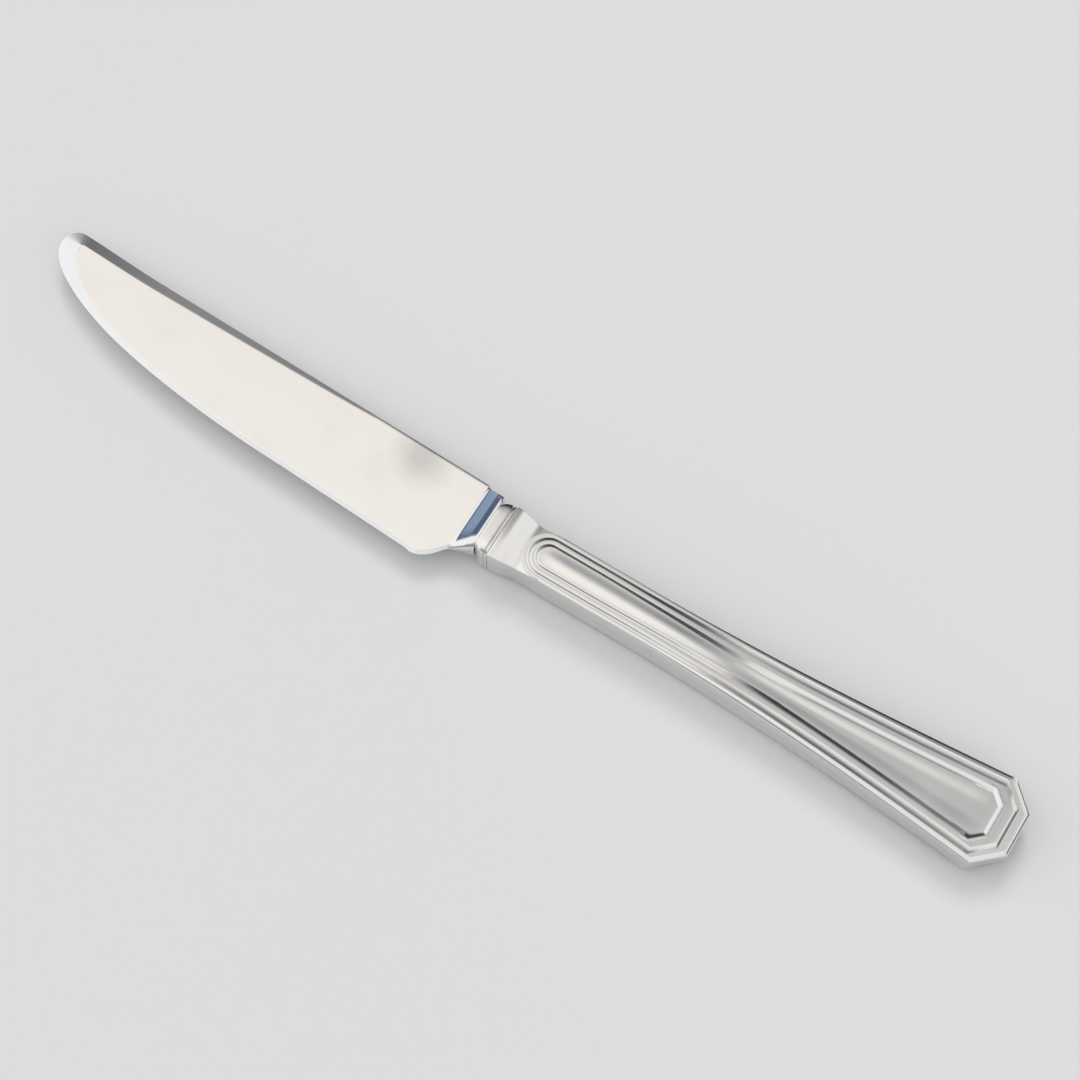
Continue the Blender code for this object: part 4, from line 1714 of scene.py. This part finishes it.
@dataclass(frozen=True)
class Collar:
    """Cap on the handle's mouth: a tapered band, a groove and a ridge, with a spigot behind."""

    length: float = 0.0034
    width: float = 0.0130
    thickness: float = 0.0106
    front_width: float = 0.0108
    front_thickness: float = 0.0101
    squareness: float = 7.0
    groove: float = 0.00022
    groove_width: float = 0.00055
    groove_power: float = 0.6
    ridge: float = 0.0004
    ridge_power: float = 0.5
    edge_round: float = 0.00015
    edge_wear: float = 0.6
    band_start: float = 0.1
    band_stop: float = 0.0001
    taper_power: float = 2.2
    spigot_length: float = 0.0026
    spigot_squareness: float = 3.2
    spigot_gap: float = 0.0003
    edge_steps: int = 9
    band_steps: int = 12
    groove_steps: int = 8
    ridge_steps: int = 8

    @property
    def groove_end(self) -> float:
        """Station where the groove ends and the ridge starts."""
        return self.length - self.ridge

    @property
    def groove_start(self) -> float:
        """Station where the tapered band ends and the groove starts."""
        return self.groove_end - self.groove_width

    def taper(self, x: float) -> float:
        """Share of the narrowing to the front at a station."""
        return (1.0 - x / self.groove_start) ** self.taper_power

    def section(self, x: float, inset: float, taper: float) -> list[Point]:
        """Section of the collar.

        Args:
            x: Its station.
            inset: How far it is sunk.
            taper: Share of the narrowing to the front.

        Returns:
            The points of the section in order.
        """
        half_width = 0.5 * mix(self.width, self.front_width, taper) - inset
        half_height = 0.5 * mix(self.thickness, self.front_thickness, taper) - inset
        return ring(x, half_width, half_height, self.squareness)

    def profile(self) -> list[tuple[float, float, float, float]]:
        """Profile of the collar's outside, from the front to the back.

        Returns:
            Station, inset, taper and wear of each row.
        """
        rows = []
        for turn in spread(0.0, 0.5 * math.pi, self.edge_steps):
            x = self.edge_round * (1.0 - math.cos(turn))
            inset = self.edge_round * (1.0 - math.sin(turn))
            rows.append((x, inset, self.taper(x), self.edge_wear))
        for share in spread(self.band_start, 1.0, self.band_steps):
            x = mix(self.edge_round, self.groove_start - self.band_stop, share)
            rows.append((x, 0.0, self.taper(x), 0.0))
        for share in spread(0.0, 1.0, self.groove_steps):
            x = mix(self.groove_start, self.groove_end, share)
            sink = math.sin(math.pi * share)
            rows.append((x, self.groove * sink ** self.groove_power, 0.0, CREVICE * sink))
        for turn in spread(0.0, math.pi, self.ridge_steps)[1:]:
            x = mix(self.groove_end, self.length, 0.5 - 0.5 * math.cos(turn))
            fall = 1.0 - math.sin(turn) ** self.ridge_power if turn > 0.5 * math.pi else 0.0
            rows.append((x, self.groove * fall, 0.0, RUBBED))
        return rows

    def build(self, seat: Seat, form: HandleForm, blade: Blade) -> bpy.types.Object:
        """The collar with its spigot and the tang's slot.

        Args:
            seat: Place of the knife's own frame.
            form: The handle that the spigot fits into.
            blade: The blade whose tang passes through.

        Returns:
            The piece.
        """
        profile = self.profile()
        rows = [self.section(x, inset, taper) for x, inset, taper, _ in profile]
        marks = [wear for _, _, _, wear in profile]
        end = self.length + self.spigot_length
        half_width = form.half_width(end) - form.sheet - self.spigot_gap
        half_height = form.shoulder(end) - form.sheet - self.spigot_gap
        rows += [ring(x, half_width, half_height, self.spigot_squareness)
                 for x in (self.length, end)]
        rows += [blade.tang_section(x, self.spigot_gap) for x in (end, 0.0)]
        marks += [0.0] * (len(rows) - len(marks))
        mesh = PieceMesh()
        mesh.grid(rows + rows[:1], closed=True, marks=marks + marks[:1])
        return mesh.piece("mouth_collar_dressed", seat)


@dataclass(frozen=True)
class Studio:
    """Pale floor, soft light and the camera."""

    floor_color: Color = (0.80, 0.80, 0.79)
    floor_size: float = 40.0
    floor_roughness: float = 0.9
    floor_gloss: float = 0.1
    cloud_shade: float = 0.99
    cloud_density: float = 3.0
    cloud_detail: float = 4.0
    cloud_range: Spot = (0.3, 0.7)
    sky_strength: float = 1.2
    sun_strength: float = 0.8
    sun_angle: float = math.radians(26.0)
    sun_from: Point = (-0.30, 0.55, 0.80)
    eye: Point = (0.101656, -0.143369, 0.470576)
    tilt: float = math.radians(20.0)
    turn: float = math.radians(31.842)
    lens: float = 80.0
    sensor: float = 36.0
    clip_start: float = 0.01
    shift: float = 9.0 / 1080.0
    tones: tuple[tuple[float, Color], ...] = (
        (-1.00, (0.30, 0.31, 0.33)),
        (-0.80, (0.40, 0.41, 0.42)),
        (-0.55, (0.80, 0.80, 0.81)),
        (-0.30, (1.08, 1.08, 1.09)),
        (0.05, (1.12, 1.12, 1.13)),
        (0.16, (1.12, 1.09, 1.04)),
        (0.245, (1.09, 1.04, 0.98)),
        (0.295, (0.95, 0.93, 0.90)),
        (0.315, (0.80, 0.79, 0.78)),
        (0.34, (0.59, 0.59, 0.585)),
        (0.42, (0.52, 0.52, 0.525)),
        (0.50, (0.38, 0.38, 0.39)),
        (0.58, (0.18, 0.18, 0.19)),
        (0.66, (0.07, 0.07, 0.08)),
        (0.80, (0.045, 0.045, 0.05)),
        (1.00, (0.06, 0.06, 0.065)),
    )
    butt_shift: float = 0.05
    butt_shift_turn: Spot = (-0.22, -0.06)
    butt_tint: Color = (0.865, 0.875, 0.885)
    butt_tint_turn: Spot = (-0.12, 0.0)
    tip_tone: Color = (0.91, 0.92, 0.95)
    tip_turn: Spot = (-0.44, -0.58)
    tip_side: Spot = (0.45, 0.30)
    cool_tones: tuple[Color, Color] = ((0.28, 0.385, 0.54), (0.075, 0.11, 0.18))
    cool_rise: Spot = (0.06, 0.32)
    cool_turn: Spot = (-0.74, -0.88)
    cool_side: Spot = (0.02, 0.14)
    end_tone: Color = (0.70, 0.71, 0.73)
    end_turn: Spot = (0.35, 0.62)
    strip_side: Spot = (0.05, 0.18)
    strips: tuple[tuple[Spot, Color], ...] = (
        ((0.09, 0.20), (0.84, 0.83, 0.82)),
        ((0.36, 0.47), (0.10, 0.10, 0.105)),
        ((0.64, 0.80), (0.70, 0.71, 0.73)),
    )

    def build_floor(self) -> None:
        """Plain pale floor that is not part of the knife."""
        half = 0.5 * self.floor_size
        corners = [(-half, -half, 0.0), (half, -half, 0.0), (half, half, 0.0), (-half, half, 0.0)]
        mesh = bpy.data.meshes.new("floor")
        mesh.from_pydata(corners, [], [(0, 1, 2, 3)])
        material, w, shader = new_material("pale_floor")
        clouds = w.noise(w.coordinates(), self.cloud_density, self.cloud_detail)
        shaded = tuple(self.cloud_shade * c for c in self.floor_color)
        color = w.blend(w.ramp(clouds, *self.cloud_range), self.floor_color, shaded)
        w.feed(shader.inputs["Base Color"], color)
        shader.inputs["Roughness"].default_value = self.floor_roughness
        shader.inputs["Specular IOR Level"].default_value = self.floor_gloss
        mesh.materials.append(material)
        floor = bpy.data.objects.new("floor", mesh)
        bpy.context.scene.collection.objects.link(floor)

    def sky_color(self, w: Wiring) -> Socket:
        """Colour of the surroundings by direction.

        From -Y to +Y they go from dim over a broad bright overhead to dark. They are cool and
        bright beyond the blade's tip, and have a few strips beyond the butt on the +Y side.

        Args:
            w: Wiring of the world.

        Returns:
            The colour.
        """
        ways = w.add("ShaderNodeSeparateXYZ")
        w.feed(ways.inputs[0], w.add("ShaderNodeTexCoord").outputs["Generated"])
        x, y, z = ways.outputs
        across = w.math("ADD", y, w.ramp(x, *self.butt_shift_turn, 0.0, self.butt_shift))
        ramp = w.add("ShaderNodeValToRGB")
        elements = ramp.color_ramp.elements
        while len(elements) < len(self.tones):
            elements.new(0.5)
        for element, (place, color) in zip(elements, self.tones):
            element.position = 0.5 + 0.5 * place
            element.color = (*(c / self.sky_strength for c in color), 1.0)
        w.feed(ramp.inputs[0], w.math("MULTIPLY_ADD", across, 0.5, 0.5))
        tinted = w.ramp(x, *self.butt_tint_turn)
        sky = w.blend(tinted, ramp.outputs["Color"], self.butt_tint, "MULTIPLY")
        tip = w.math("MULTIPLY", w.ramp(x, *self.tip_turn), w.ramp(across, *self.tip_side))
        sky = w.blend(tip, sky, self.tip_tone)
        cool = w.math("MULTIPLY", w.ramp(x, *self.cool_turn), w.ramp(y, *self.cool_side))
        sky = w.blend(cool, sky, w.blend(w.ramp(z, *self.cool_rise), *self.cool_tones))
        sky = w.blend(w.ramp(x, *self.end_turn), sky, self.end_tone)
        far = w.ramp(y, *self.strip_side)
        for turn, color in self.strips:
            sky = w.blend(w.math("MULTIPLY", w.ramp(x, *turn), far), sky, color)
        return sky

    def build_sky(self) -> None:
        """Studio surroundings that light the knife and show in its steel."""
        world = bpy.data.worlds.new("studio")
        world.use_nodes = True
        w = Wiring(world.node_tree)
        shader = world.node_tree.nodes["Background"]
        w.feed(shader.inputs["Color"], self.sky_color(w))
        shader.inputs["Strength"].default_value = self.sky_strength
        bpy.context.scene.world = world

    def build_sun(self) -> None:
        """Broad lamp from the far side, for the soft shadow."""
        light = bpy.data.lights.new("key", "SUN")
        light.energy = self.sun_strength
        light.angle = self.sun_angle
        lamp = bpy.data.objects.new("key", light)
        lamp.rotation_euler = Vector(self.sun_from).to_track_quat("Z", "Y").to_euler()
        lamp.visible_glossy = False
        bpy.context.scene.collection.objects.link(lamp)

    def build_camera(self, seat: Seat) -> None:
        """Camera at the photograph's viewing angle.

        Args:
            seat: Place of the knife's own frame.
        """
        data = bpy.data.cameras.new("camera")
        data.lens = self.lens
        data.sensor_width = self.sensor
        data.shift_y = self.shift
        data.clip_start = self.clip_start
        camera = bpy.data.objects.new("camera", data)
        camera.location = seat.at(*self.eye)
        camera.rotation_euler = Euler((self.tilt, 0.0, self.turn))
        bpy.context.scene.collection.objects.link(camera)
        bpy.context.scene.camera = camera

    def build(self, seat: Seat) -> None:
        """Floor, surroundings, lamp and camera.

        Args:
            seat: Place of the knife's own frame.
        """
        self.build_floor()
        self.build_sky()
        self.build_sun()
        self.build_camera(seat)
        bpy.context.scene.view_settings.view_transform = "Standard"


def dress_fillers(effects: Effects) -> None:
    """Finish the braze and the cement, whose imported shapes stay.

    Args:
        effects: The shared effects.
    """
    finishes = {
        "seam_braze": Mottled(
            name="silver_braze", first=(0.72, 0.66, 0.52), second=(0.50, 0.42, 0.30),
            cloud_size=0.0015, roughness=0.5, metallic=1.0),
        "tang_cement": Mottled(
            name="resin_cement", first=(0.62, 0.58, 0.50), second=(0.42, 0.38, 0.31),
            cloud_size=0.0011, roughness=0.9, metallic=0.0),
    }
    for name, finish in finishes.items():
        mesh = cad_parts[name].data
        mesh.materials.clear()
        mesh.materials.append(finish.material(effects))
        log.info("%s: packed shape kept, finish %s", name, finish.name)


def main() -> None:
    """Build and dress the knife piece by piece, then the studio."""
    logging.basicConfig(level=logging.INFO, format="%(name)s: %(message)s")
    seat = Seat.from_frame()
    effects = Effects()
    # On the blade, the tarnish colour also gives the painted dark reflection near the heel, a soft
    # dark patch on the spine side.
    blade_steel = PolishedSteel(
        name="mirror_blade_steel", metal=(0.795, 0.785, 0.77), tarnish=(0.42, 0.435, 0.45),
        roughness=0.10, scratch_share=0.35, smudge_film=0.06,
        spot_place=tuple(seat.at(*DARK_REFLECTION_SPOT)), spot_size=0.0090, painted_reflection_share=1.15)
    handle_steel = PolishedSteel(
        name="polished_handle_steel", metal=(0.795, 0.787, 0.775), tarnish=(0.30, 0.29, 0.28),
        roughness=0.12, scratch_share=0.45, smudge_film=0.10, depth=0.4)
    blade, form, collar = Blade(), HandleForm(), Collar()
    border = Border(form)

    settle(blade.build(seat), blade_steel.material(effects), Slot.BLADE, "blade")
    handle_finish = handle_steel.material(effects)
    settle(collar.build(seat, form, blade), handle_finish, Slot.HANDLE, "mouth_collar")
    for side, node in ((Side.UPPER, "upper_shell"), (Side.LOWER, "lower_shell")):
        shell = Shell(side, form, border).build(f"{node}_dressed", seat)
        settle(shell, handle_finish, Slot.HANDLE, node)
    dress_fillers(effects)
    Studio().build(seat)


if __name__ == "__main__":
    main()
